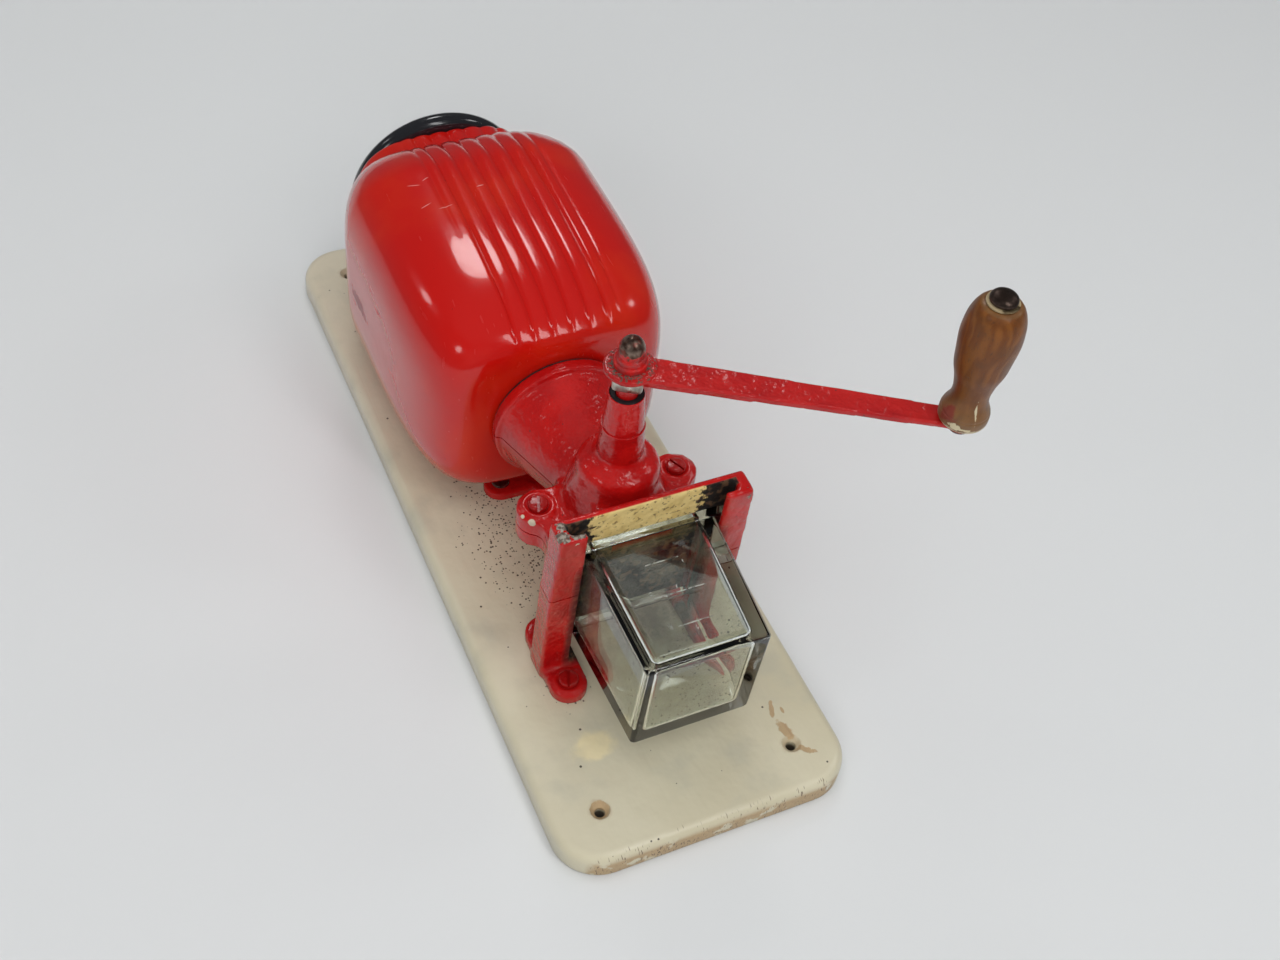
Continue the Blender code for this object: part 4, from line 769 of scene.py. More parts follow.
def nut_metal(s):
    """Worn steel with red paint left round the nut's foot."""
    look, n = finish("nut_steel")
    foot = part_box("acorn_nut")[0].z
    painted = n.remap(n.plus(n.axis(2), n.jitter(0.016, 330.0, 5.0, 0.6)), foot + 0.0085, foot + 0.0070)
    grey = n.mixed(n.clouds(330.0, 0.4, 0.65, 5.0), (0.34, 0.25, 0.20), (0.11, 0.055, 0.040))
    grey = n.mixed(n.clouds(210.0, 0.50, 0.60, 5.0), grey, (0.26, 0.030, 0.022), 0.6)
    red = n.mixed(n.clouds(260.0, 0.42, 0.6), s.paint, (0.30, 0.02, 0.02))
    n.feed(Base_Color=n.mixed(painted, grey, red), Metallic=n.without(painted),
           Roughness=n.mixed(painted, 0.38, 0.30),
           Normal=n.bumps((n.noise(700.0, 3.0), 0.00015, 0.6), (painted, 0.0001, 0.8)))
    return look


def grip_wood(s):
    """Turned hardwood with worn varnish, and old cream and red paint left round its foot."""
    look, n = finish("turned_wood", Coat_Weight=0.18, Coat_Roughness=0.20, Specular_IOR_Level=0.3)
    n.place = n.vector("SUBTRACT", n.place, tuple(GRIP_MIDDLE))
    z = n.axis(2)
    swirl = n.add("TexNoise", {"Vector": n.place, "Scale": 55.0, "Detail": 2.0}).outputs["Color"]
    swing = n.vector("MULTIPLY", n.vector("SUBTRACT", swirl, (0.5, 0.5, 0.5)), (0.006, 0.006, 0.012))
    bent = n.vector("ADD", n.place, swing)
    fibre, rings, pores = n.group("Wood grain", bent, Stretch=(55.0, 55.0, 12.0), Rings=1.1)
    colour = n.mixed(fibre, s.wood, tinted(s.wood, 0.42, 0.36, 0.34))
    colour = n.mixed(rings, colour, (0.27, 0.098, 0.018), 0.45)
    colour = n.mixed(n.clouds(120.0, 0.42, 0.66, 4.0, bent), colour, (0.10, 0.040, 0.014), 0.45)
    colour = n.mixed(pores, colour, (0.05, 0.025, 0.012), 0.5)
    base = -(GRIP_HIGH.z - GRIP_LOW.z) / 2
    colour = n.mixed(n.remap(z, base + 0.018, base + 0.002), colour, (0.22, 0.17, 0.10), 0.35)
    foot = n.remap(n.plus(z, n.jitter(0.006, 190.0)), base + 0.0016, base + 0.0006)
    remnant = n.blotches([((-0.0093, -0.0016, base + 0.0060), (0.0034, 0.0046, 0.0058))],
                         Ragged=1.4, Grain=300.0, Soft=0.5)
    colour = n.mixed(remnant, colour, (0.20, 0.015, 0.018), 0.7)
    flecks = n.blotches([((-0.0078, -0.0055, base + 0.0026), (0.0024, 0.0030, 0.0015), {"Ragged": 1.8, "Grain": 600.0}),
                         ((-0.0048, -0.0084, base + 0.0019), (0.0030, 0.0030, 0.0006), {"Ragged": 2.2, "Grain": 700.0}),
                         ((-0.0016, -0.0092, base + 0.0097), (0.00045, 0.0034, 0.0058),
                          {"Ragged": 2.4, "Grain": 420.0})], Soft=0.2)
    colour = n.mixed(n.most(n.times(foot, 0.8), flecks), colour, (0.58, 0.50, 0.33))
    colour = n.mixed(n.remap(z, -base - 0.0009, -base - 0.0004), colour, (0.16, 0.085, 0.030), 0.5)
    n.feed(Base_Color=colour, Roughness=n.mixed(fibre, 0.34, 0.52),
           Normal=n.bumps((fibre, 0.0002, 0.35), (pores, -0.0001, 0.5)))
    return look


def pressed_glass(s):
    """Thick pressed glass, a little wavy and greenish."""
    look, n = finish("pressed_glass", Transmission_Weight=1.0, IOR=1.5)
    film = n.clouds(70.0, 0.5, 0.85, 5.0)
    n.feed(Base_Color=n.mixed(film, s.tint, (0.80, 0.84, 0.78)), Roughness=n.times(film, 0.05),
           Normal=n.bumps((n.noise(60.0), 0.0006, 0.10)))
    return look


def dust_film():
    """Fine ground coffee that clings inside the glass, and dark dust that hangs behind its rim."""
    look, n = finish("dust_film", Roughness=0.9)
    y = n.axis(1)
    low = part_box("catcher_glass")[0].y
    settled = n.remap(y, low + 0.030, low + 0.006)
    cloud = n.clouds(90.0, 0.35, 0.75, 5.0)
    grains = n.specks(800.0, 0.22, 0.4)
    back = n.times(n.remap(y, low + 0.030, low + 0.046), cloud, 0.62)
    film = n.most(n.times(cloud, n.remap(settled, 0.0, 1.0, 0.10, 0.22)), back,
                  n.times(grains, n.remap(settled, 0.0, 1.0, 0.05, 0.75)))
    n.feed(Base_Color=n.mixed(n.most(grains, back), (0.42, 0.36, 0.27), (0.075, 0.050, 0.035)), Alpha=film)
    return look


def painted_gleam_ridge():
    """A painted gleam: the raised lines on the glass are coloured pale as if lit, broken up along their length."""
    look, n = finish("glass_ridge_painted_gleam", Roughness=0.35)
    painted_gleam = n.clouds(330.0, 0.36, 0.60, 3.0)
    n.feed(Base_Color=n.mixed(painted_gleam, (0.40, 0.41, 0.36), (0.72, 0.74, 0.68)),
           Alpha=n.remap(painted_gleam, 0.0, 1.0, 0.15, 0.60))
    return look


def plain(name, colour, rough):
    """A quiet finish with slight mottling, for small and hidden pieces."""
    look, n = finish(name)
    mottled = n.clouds(300.0, 0.35, 0.7)
    n.feed(Base_Color=n.mixed(mottled, colour, tinted(colour, 0.6, 0.6, 0.6)),
           Roughness=n.mixed(mottled, rough, rough * 0.8),
           Normal=n.bumps((n.noise(600.0, 3.0), 0.0001, 0.35)))
    return look


# ---- settings


def length(name, description, default, low=0.0, high=1.0):
    """A size in metres."""
    return FloatProperty(name=name, description=description, default=default, min=low, max=high, precision=5,
                         subtype="DISTANCE", unit="LENGTH")


def colour(name, description, default):
    """A linear colour."""
    return FloatVectorProperty(name=name, description=description, default=default, size=3, min=0.0, max=1.0,
                               subtype="COLOR")


class BoardSettings(bpy.types.PropertyGroup):
    corner: length("Corner radius", "Radius of the board's four corners", 0.020)
    front_round: length("Front rounding", "Radius of the worn front edge", 0.0045)
    back_round: length("Back rounding", "Radius of the back edge", 0.0008)
    hole: length("Hole radius", "Radius of the wall screw holes", 0.0022)
    countersink: length("Countersink", "Depth of the cone round each hole", 0.0020)
    paint: colour("Paint", "The cream paint", (0.62, 0.575, 0.425))


class CastingSettings(bpy.types.PropertyGroup):
    voxel: length("Voxel", "Grain of the cast skin", 0.0007, 0.0003, 0.005)
    fillet: length("Fillet", "Radius that fills inside corners of the hub", 0.0035)
    small_fillet: length("Small fillet", "Radius that fills inside corners of the bracket", 0.0012)
    softness: IntProperty(name="Softness", description="Passes that soften the cast edges", default=3, min=0, max=20)
    seam: length("Seam", "Gap between the two halves", 0.0006)
    paint: colour("Paint", "The red paint", (0.49, 0.007, 0.006))


class HopperSettings(bpy.types.PropertyGroup):
    ribs: IntProperty(name="Ribs", description="Number of ribs on the front", default=7, min=0, max=20)
    pitch: length("Rib pitch", "Distance from rib to rib", 0.00845)
    depth: length("Rib depth", "Depth of the grooves between ribs", 0.0019)
    wall: length("Wall", "Thickness of the wall", 0.0032)
    colour: colour("Colour", "The red gloss", (0.50, 0.005, 0.003))


class LidSettings(bpy.types.PropertyGroup):
    rim: length("Rim", "Thickness of the rounded rim", 0.0095)
    spigot: length("Spigot", "Length of the spigot inside the neck", 0.009)
    colour: colour("Colour", "The black gloss", (0.011, 0.012, 0.015))


class CrankSettings(bpy.types.PropertyGroup):
    thick: length("Thickness", "Thickness of the arm", 0.0034)
    eye: length("Eye radius", "Radius of the raised eye round the spindle", 0.0108)
    root: length("Root width", "Width of the arm beside the eye", 0.0138)
    tip: length("Tip width", "Width of the arm at the handle", 0.0098)
    tip_radius: length("Tip radius", "Radius of the arm's round end", 0.0060)
    thinner: length("Thinner tip", "How much thinner the arm is at the handle", 0.0008)
    bend: length("Bend", "How far the arm's end leans towards the hopper", 0.0008)
    voxel: length("Voxel", "Grain of the forged skin", 0.00045, 0.0002, 0.005)
    paint: colour("Paint", "The red paint", (0.45, 0.012, 0.011))


class GripSettings(bpy.types.PropertyGroup):
    wood: colour("Wood", "The varnished wood", (0.20, 0.062, 0.009))


class GlassSettings(bpy.types.PropertyGroup):
    wall: length("Wall", "Thickness of the glass", 0.0052)
    corner: length("Corner", "Radius of the outer corners", 0.0024)
    inner_corner: length("Inner corner", "Radius of the hollow's corners", 0.0036)
    tint: colour("Tint", "The faint green of the glass", (0.90, 0.94, 0.90))


class StageSettings(bpy.types.PropertyGroup):
    floor: colour("Floor", "The pale table", (0.70, 0.715, 0.72))
    lens: FloatProperty(name="Lens", description="Focal length of the camera", default=44.3, min=10, max=300)
    lamps: FloatProperty(name="Lamps", description="Power of each small lamp", default=1.7, min=0, subtype="POWER")
    ceiling: FloatProperty(name="Ceiling", description="Power of the wide soft light", default=31.0, min=0,
                           subtype="POWER")
    fill: FloatProperty(name="Fill", description="Power of the soft light from the front left", default=27.0, min=0,
                        subtype="POWER")


# ---- pieces


class MILL_OT_board(bpy.types.Operator):
    """Model the painted backboard with its drilled and countersunk holes"""
    bl_idname = "mill.board"
    bl_label = "Board"

    def execute(self, context):
        s = context.scene.mill_board
        slab = box(BOARD_LOW, BOARD_HIGH)
        rounded(slab, s.corner, 14, upright)
        for height, width, segments in ((BOARD_TOP, s.front_round, 6), (BOARD_LOW.z, s.back_round, 2)):
            rounded(slab, width, segments, lambda edge: level(edge, 2, height))
        cone = s.hole + s.countersink + PLAY
        profile = [(0, -PAST), (s.hole, -PAST), (s.hole, BOARD_TOP - s.countersink), (cone, BOARD_TOP + PLAY),
                   (0, BOARD_TOP + PLAY)]
        slab = cut(slab, *[shifted(turned(profile, 32), x, y) for x, y in WALL_HOLES],
                   *screw_holes(FEET, BOARD_TOP - 0.0093, BOARD_TOP + PAST))
        piece("board_body", slab, board_paint(s), "root", ["board"])
        return {"FINISHED"}


def hub_solid():
    """The bell-shaped hub with its round crown and the boss's core."""
    rise = HUB_TOP - CROWN_ROUND - HUB_SIDE
    bell = [(HUB_RADIUS + (CROWN_RADIUS - HUB_RADIUS) * smooth(share), HUB_SIDE + rise * share)
            for share in (step / 10 for step in range(10))]
    profile = [(0, HUB_BACK)] + rounding(HUB_RADIUS, HUB_BACK, HUB_CORNER, 8, foot=True) + bell
    profile += rounding(CROWN_RADIUS, HUB_TOP, CROWN_ROUND, 10)
    return on_shaft(turned(profile + [(0.0093, HUB_TOP), (0.0091, CORE_TOP), (0, CORE_TOP)]))


def boss_solid():
    """The tapered boss for the spindle, with the thin lip where it steps in."""
    low = HUB_TOP + 0.0028
    step = HUB_TOP + 0.0185
    lower = [(0.0089, low), (0.0096, low + 0.0016), (0.0093, low + 0.008), (0.0089, step - 0.0006)]
    lip = arc((0.00875, step - 0.0001), 0.00025, 0, pi / 2, 3) + [(0.0085, step + 0.0001)]
    mouth = rounding(BOSS_TOP_RADIUS, BOSS_TOP, 0.0007, 5)
    return on_shaft(turned([(0, low)] + lower + lip + mouth + [(0, BOSS_TOP)], 72))


def cone_solid():
    """The funnel's cone, which starts inside its flange and ends inside the hub."""
    mouth = FUNNEL_MOUTH + 0.0053
    throat = FUNNEL_THROAT + FUNNEL_WALL
    start, end = FLANGE_Y - 0.001, SHAFT_Y + 0.013
    return along_y(turned([(0, start), (mouth, start), (mouth, FLANGE_Y - FLANGE_THICK),
                           (throat, SHAFT_Y + HUB_RADIUS), (throat, end), (0, end)]))


def flange_solid():
    """The flange that carries the hopper, with a rounded rim."""
    back = FLANGE_Y - FLANGE_THICK
    rim = rounding(FLANGE_RADIUS, back, 0.0009, 5, foot=True) + rounding(FLANGE_RADIUS, FLANGE_Y, 0.0008, 4)
    return along_y(turned([(0, back)] + rim + [(0, FLANGE_Y)]))


def passage(end):
    """The way through the funnel, down to a place on the hopper's axis."""
    narrow = SHAFT_Y + HUB_RADIUS
    profile = [(0, FLANGE_Y + PAST), (FUNNEL_MOUTH, FLANGE_Y + PAST), (FUNNEL_MOUTH, FLANGE_Y - FLANGE_THICK),
               (FUNNEL_THROAT, narrow)]
    if end < narrow:
        profile.append((FUNNEL_THROAT, end))
    return along_y(turned(profile + [(0, end)], 48))


def lug_solid(side):
    """A screw lug, with the webs that join it to the hub and to the plate."""
    low, high = PARTING - LUG_HALF, PARTING + LUG_HALF
    root_radius, web_radius, foot_half, step = 0.013, 0.0055, 0.003, 0.001
    x = side * LUG_X
    eye = between(shifted(disc(LUG_RADIUS, low, high), x, LUG_Y), on_shaft(disc(root_radius, low, high)))
    foot = leaning(box((x - foot_half, PLATE_THICK / 2, -LUG_HALF), (x + foot_half, PLATE_THICK, LUG_HALF - step)))
    web = between(shifted(disc(web_radius, low, high - step), x - side * 0.004, LUG_Y - 0.003), foot)
    return gather(eye, web)


def bracket_solid():
    """The channel that holds the glass: plate, side walls and lips, open below the plate."""
    low = -(PARTING - BOARD_TOP) / cos(LEAN) - BRACKET_FRONT * tan(LEAN) - PAST
    rings = []
    for z, spread in ((low, BRACKET_SPREAD), (0, BRACKET_SPREAD), (PLATE_TOP, 0)):
        outer = ARM_HALF + spread
        half = [(CHANNEL_HALF, 0), (CHANNEL_HALF, -CHANNEL_DEPTH), (LIP_HALF, -CHANNEL_DEPTH),
                (LIP_HALF, -BRACKET_FRONT), (outer, -BRACKET_FRONT), (outer, PLATE_THICK)]
        rings.append([Vector((x, y, z)) for x, y in half + [(-x, y) for x, y in reversed(half)]])
    gate_half = CHANNEL_HALF - 0.002
    gate = box((-gate_half, -PAST, low - PAST), (gate_half, PLATE_THICK + PAST, PLATE_BOTTOM))
    return leaning(cut(skin(rings, capped=True), gate))


def neck_solid():
    """The broad neck between hub and plate, with its front corners cut away."""
    half = [(0.0205, -0.030), (0.0205, 0.009), (0.0162, 0.0192)]
    outline = half + [(-x, z) for x, z in reversed(half)]
    return leaning(skin([[Vector((x, y, z)) for x, z in outline] for y in (PLATE_THICK / 2, PLATE_DROP)],
                        capped=True))


def foot_solid(side):
    """A lower foot: a pad with round ends under the side wall."""
    ends = [shifted(disc(FOOT_RADIUS, BOARD_TOP - PAST, FOOT_TOP), side * FOOT_X, y)
            for y in (FOOT_Y, FOOT_END_Y)]
    return between(*ends)


def seat_rim(radius, x, y, z, thick=0.00085):
    """A raised ring of round section, as the paint leaves it round a screw's seat."""
    return shifted(turned(arc((radius, z), thick, 0, 2 * pi, 12)[:-1], 48, closed=True), x, y)


def upper_foot_solid():
    """The web under the funnel with its T-shaped foot."""
    start = FLANGE_Y - FLANGE_THICK / 2
    end = SHAFT_Y + HUB_RADIUS / 2
    low = BOARD_TOP - PAST
    web_half, strap_half = 0.0035, 0.007
    web = between(box((-web_half, end, low), (web_half, start, low + 0.004)),
                  box((-web_half, end, HUB_BACK + 0.010), (web_half, start, PARTING - FUNNEL_MOUTH - PLAY)))
    strap = box((-strap_half, end + HUB_CORNER, low), (strap_half, UPPER_FOOT_Y, UPPER_FOOT_TOP - PLAY))
    ends = [shifted(disc(UPPER_FOOT_RADIUS, low, UPPER_FOOT_TOP), side * UPPER_FOOT_X, UPPER_FOOT_Y)
            for side in (-1, 1)]
    return gather(web, strap, between(*ends))


def screw_holes(places, low, high):
    """Drills for the screws at mirrored places."""
    return [shifted(disc(SCREW_HOLE, low, high, 24), side * x, y) for x, y in places for side in (-1, 1)]


class MILL_OT_castings(bpy.types.Operator):
    """Model the two cast halves of the grinder: funnel, hub, lugs, bracket and feet"""
    bl_idname = "mill.castings"
    bl_label = "Castings"

    def execute(self, context):
        s = context.scene.mill_castings
        core = fused(gather(hub_solid(), cone_solid(), lug_solid(-1), lug_solid(1), neck_solid()),
                     s.voxel, s.fillet, 0)
        feet = fused(gather(bracket_solid(), foot_solid(-1), foot_solid(1), upper_foot_solid()),
                     s.voxel, s.small_fillet, 0)
        rims = [seat_rim(0.0061, side * LUG_X, LUG_Y, PARTING + LUG_HALF, 0.0011) for side in (-1, 1)]
        rims += [seat_rim(0.0056, side * FOOT_X, FOOT_Y, FOOT_TOP) for side in (-1, 1)]
        whole = fused(gather(core, feet, flange_solid(), *rims), s.voxel, 0, s.softness)
        whole = joined(mark_edges(whole, 6, s.voxel), boss_solid())
        half = s.seam / 2
        look = casting_paint(s)
        seal = BOSS_TOP - DUST_RING_DEPTH
        front = cut(whole.copy(), layer(-FAR, PARTING + half),
                    on_shaft(disc(CHAMBER_RADIUS, PARTING - PAST, HUB_ROOF)),
                    on_shaft(disc(BOSS_BORE, HUB_ROOF - PAST, seal + PLAY)),
                    on_shaft(disc(DUST_RING_RADIUS, seal - PLAY, BOSS_TOP + PAST)),
                    box((-CHUTE_HALF, PLATE_Y - BRACKET_FRONT, HUB_ROOF - CHUTE_DEPTH),
                        (CHUTE_HALF, SHAFT_Y, HUB_ROOF - PLAY)), passage(SHAFT_Y + HUB_RADIUS),
                    *screw_holes(LUGS, PARTING - PAST, PARTING + LUG_HALF + PAST))
        rear = cut(whole, layer(PARTING - half, FAR), layer(-FAR, BOARD_TOP + PLAY),
                   on_shaft(disc(CHAMBER_RADIUS, HUB_FLOOR, PARTING + PAST)),
                   on_shaft(disc(BOSS_BORE, HUB_BACK + 0.0015, HUB_FLOOR + 0.0008)), passage(SHAFT_Y),
                   *screw_holes(LUGS, PARTING - LUG_HALF - PAST, PARTING), *screw_holes(FEET, 0, FOOT_TOP + PAST))
        piece("front_casting_body", front, look, "root", ["front_casting"], 50)
        piece("rear_casting_body", rear, look, "root", ["rear_casting"], 50)
        return {"FINISHED"}


def slotted_screw(head_height, length_below):
    """A slotted screw along Z: its head sits on z = 0 and its shank hangs below."""
    radius, head_radius, slot = 0.0019, 0.0042, 0.0011
    head = rounding(head_radius, head_height, head_height * 0.45, 5)
    body = turned([(0, -length_below), (radius, -length_below), (radius, 0), (head_radius, 0)] + head +
                  [(0, head_height + 0.0001)], 48)
    reach = head_radius + PAST
    floor = head_height - min(slot, head_height * 0.6)
    return cut(body, box((-reach, -slot / 2, floor), (reach, slot / 2, head_height + PAST)))


class MILL_OT_screws(bpy.types.Operator):
    """Model the slotted screws in the lugs and the feet"""
    bl_idname = "mill.screws"
    bl_label = "Screws"

    def execute(self, context):
        s = context.scene.mill_castings
        red = red_paint("red_screw_paint", tinted(s.paint, 0.7, 0.7, 0.7), 0.2)
        steel = metal("dull_screw_steel", (0.30, 0.27, 0.24), 0.42)
        # Each pair's seat, its heads' height and its shanks' length
        kinds = [("lug", LUG_X, LUG_Y, PARTING + LUG_HALF, 0.0022, 0.0152, red, "painted_steel"),
                 ("foot", FOOT_X, FOOT_Y, FOOT_TOP, 0.0022, 0.014, red, "painted_steel"),
                 ("upper_foot", UPPER_FOOT_X, UPPER_FOOT_Y, UPPER_FOOT_TOP, 0.0011, 0.013, steel, "steel")]
        for kind, x, y, seat, head, below, look, slot in kinds:
            for side, name, angle in ((-1, "left", radians(70)), (1, "right", radians(115))):
                screw = shifted(spun(slotted_screw(head, below), angle), side * x, y, seat + PLAY)
                piece(f"{name}_{kind}_screw_body", screw, look, "root", [f"{name}_{kind}_screw"])
        return {"FINISHED"}


# The hopper: half its width and depth, the heights where its outline changes, its ends as shares of its widest,
# how square its sections are, its mouth, and how finely it is drawn
HOPPER_HALF_WIDTH = (HOPPER_HIGH.x - HOPPER_LOW.x) / 2
HOPPER_HALF_DEPTH = HOPPER_HIGH.z - PARTING
HOPPER_BELLY = 0.0885
HOPPER_RISE = HOPPER_BELLY + 0.022
HOPPER_SHOULDER = 0.032
HOPPER_TOP = HOPPER_HIGH.y - HOPPER_LOW.y
HOPPER_BOTTOM = 0.56
HOPPER_NECK = 0.725
BELLY_SQUARENESS = 4.2
NECK_SQUARENESS = 3.2
HOPPER_OPENING = 0.0345
HOPPER_SCREW_HOLE = 0.0017
SPIGOT_RADIUS = 0.0339
BACK_STEPS = 72
RIB_STEPS = 14
OUTER_RIB = 0.006


def hopper_scale(distance):
    """How wide the hopper's section is, as a share of its widest, at a distance above its bottom."""
    if distance < HOPPER_BELLY:
        share = (HOPPER_BELLY - distance) / HOPPER_BELLY
        return HOPPER_BOTTOM + (1 - HOPPER_BOTTOM) * max(0, 1 - share ** 3.2) ** (1 / 3.2)
    share = min(1, max(0, distance - HOPPER_RISE) / HOPPER_SHOULDER)
    return HOPPER_NECK + (1 - HOPPER_NECK) * (1 - share ** 1.54) ** (1 / 1.54)


def rib_centre(distance):
    """Where the middle rib runs, because the ribs lie a little to the right and lean."""
    return 0.0033 + 0.033 * (distance - 0.045)


def rib_relief(s, x, distance):
    """How far the surface lies under the crests of the ribs. The two outer ribs are narrow and faint."""
    inner = (s.ribs / 2 - 1) * s.pitch
    reach = abs(x)
    weight = 1.0
    if reach < inner:
        across = abs(2 * ((x / s.pitch + 0.5) % 1) - 1)
    else:
        share = (reach - inner) / OUTER_RIB
        across = abs(2 * share - 1)
        if share > 0.5:
            weight = 0.45 * (smooth((distance - 0.05) / 0.05) if x < 0 else 1)
        if share > 1:
            across = 1
            weight *= max(0, 1 - (share - 1) * OUTER_RIB / 0.0035) ** 2
    # Narrow grooves low down widen and deepen upwards, and grow calmer again over the shoulder
    upper = smooth((distance - 0.065) / 0.055)
    power = 4.2 - 2.3 * upper
    groove = max(0, 1 - ((1 - across) ** 2 + 0.004) ** 0.5) ** power
    calm = 1 - 0.45 * smooth((distance - HOPPER_RISE - 0.014) / 0.014)
    return s.depth * (0.72 + 0.28 * upper) * calm * smooth((distance - 0.001) / 0.009) * weight * groove


def hopper_ring(s, distance, scale, inset, squareness, ribbed):
    """One closed section of the hopper. Points on the front keep their x, so the ribs run straight."""
    wide = HOPPER_HALF_WIDTH * scale - inset
    deep = HOPPER_HALF_DEPTH * scale - inset
    steps = (s.ribs + 1) * RIB_STEPS
    front = min((s.ribs + 1) * s.pitch / 2, wide * 0.79)
    centre = min(rib_centre(distance), wide * 0.93 - front)
    points = []
    for step in range(steps + 1):
        x = centre + front * (1 - 2 * step / steps)
        z = deep * (1 - abs(x / wide) ** squareness) ** (1 / squareness)
        points.append(Vector((x, distance, z - ribbed * rib_relief(s, x - centre, distance))))
    start = atan2(points[-1].z, points[-1].x)
    end = atan2(points[0].z, points[0].x) + 2 * pi
    for step in range(1, BACK_STEPS):
        a = start + (end - start) * step / BACK_STEPS
        reach = ((abs(cos(a)) / wide) ** squareness + (abs(sin(a)) / deep) ** squareness) ** (-1 / squareness)
        points.append(Vector((reach * cos(a), distance, reach * sin(a))))
    return points


def round_ring(s, distance, radius):
    """A round section with as many points as the hopper's other sections."""
    model = hopper_ring(s, distance, 1.0, 0, 2.0, 0)
    angles = [atan2(point.z / HOPPER_HALF_DEPTH, point.x / HOPPER_HALF_WIDTH) for point in model]
    return [Vector((radius * cos(a), distance, radius * sin(a))) for a in angles]


class MILL_OT_hopper(bpy.types.Operator):
    """Model the ribbed barrel hopper with its open neck"""
    bl_idname = "mill.hopper"
    bl_label = "Hopper"

    def execute(self, context):
        s = context.scene.mill_hopper
        swelling = [HOPPER_BELLY * (1 - cos(pi / 2 * step / 34)) for step in range(35)]
        straight = [HOPPER_BELLY + (HOPPER_RISE - HOPPER_BELLY) * step / 5 for step in range(1, 5)]
        closing = [HOPPER_RISE + HOPPER_SHOULDER * sin(pi / 2 * step / 26) for step in range(26)]
        outside = [hopper_ring(s, d, hopper_scale(d), 0, BELLY_SQUARENESS, 1) for d in swelling + straight + closing]
        shoulder = HOPPER_RISE + HOPPER_SHOULDER
        edge = 0.002
        lip = [(HOPPER_TOP - edge + edge * sin(a), edge * (1 - cos(a)))
               for a in (pi / 2 * step / 4 for step in range(5))]
        neck = [hopper_ring(s, d, HOPPER_NECK, inset, NECK_SQUARENESS, 1) for d, inset in [(shoulder, 0)] + lip]
        mouth = [round_ring(s, height, HOPPER_OPENING) for height in (HOPPER_TOP, shoulder - s.wall)]
        inside = [hopper_ring(s, d, hopper_scale(d), s.wall, BELLY_SQUARENESS, 0)
                  for d in [HOPPER_RISE + HOPPER_SHOULDER / 2, HOPPER_RISE, HOPPER_BELLY] +
                  [swelling[step] for step in (28, 22, 17, 13, 10)] + [s.wall]]
        hole = [round_ring(s, height, FUNNEL_MOUTH) for height in (s.wall, 0)]
        shell = shifted(skin([hole[-1]] + outside + neck + mouth + inside + hole), 0, HOPPER_LOW.y, PARTING)
        circle = (FUNNEL_MOUTH + FLANGE_RADIUS) / 2
        for quarter in range(4):
            a = pi / 4 + quarter * pi / 2
            drill = disc(HOPPER_SCREW_HOLE, HOPPER_LOW.y - PLAY, HOPPER_LOW.y + s.wall + PLAY, 24)
            shell = combined(shell, along_y(shifted(drill, circle * cos(a), circle * sin(a))), "DIFFERENCE", "EXACT")
        piece("hopper_body", shell, hopper_gloss(s), "root", ["hopper"], 40)
        dress(["hopper_gasket"], plain("gasket_fibre", (0.02, 0.02, 0.022), 0.8))
        dress(["clamp_ring"] + [f"hopper_screw_{number}" for number in range(1, 5)],
              metal("hopper_fixing_steel", (0.40, 0.38, 0.35), 0.38))
        return {"FINISHED"}


class MILL_OT_lid(bpy.types.Operator):
    """Model the domed black lid with its spigot"""
    bl_idname = "mill.lid"
    bl_label = "Lid"

    def execute(self, context):
        s = context.scene.mill_lid
        radius = LID_HIGH.x
        start = LID_LOW.y + s.spigot
        top = LID_HIGH.y
        half = s.rim / 2
        rim = arc((radius - half, start + half), half, -pi / 2, pi / 2, 16)
        wall, roof = 0.0025, 0.003
        dome = arc((0, start + s.rim), radius - half - wall, 0, pi / 2, 12, top - start - s.rim)[:-1]
        hollow = SPIGOT_RADIUS - wall
        under = [(0, top - roof), (hollow, start + s.rim - roof), (hollow, start - s.spigot),
                 (SPIGOT_RADIUS, start - s.spigot), (SPIGOT_RADIUS, start)]
        cap = along_y(turned(under + rim + dome + [(0, top)], 96))
        piece("lid_cap", cap, black_gloss(s), "lid", ["hopper_lid"])
        return {"FINISHED"}


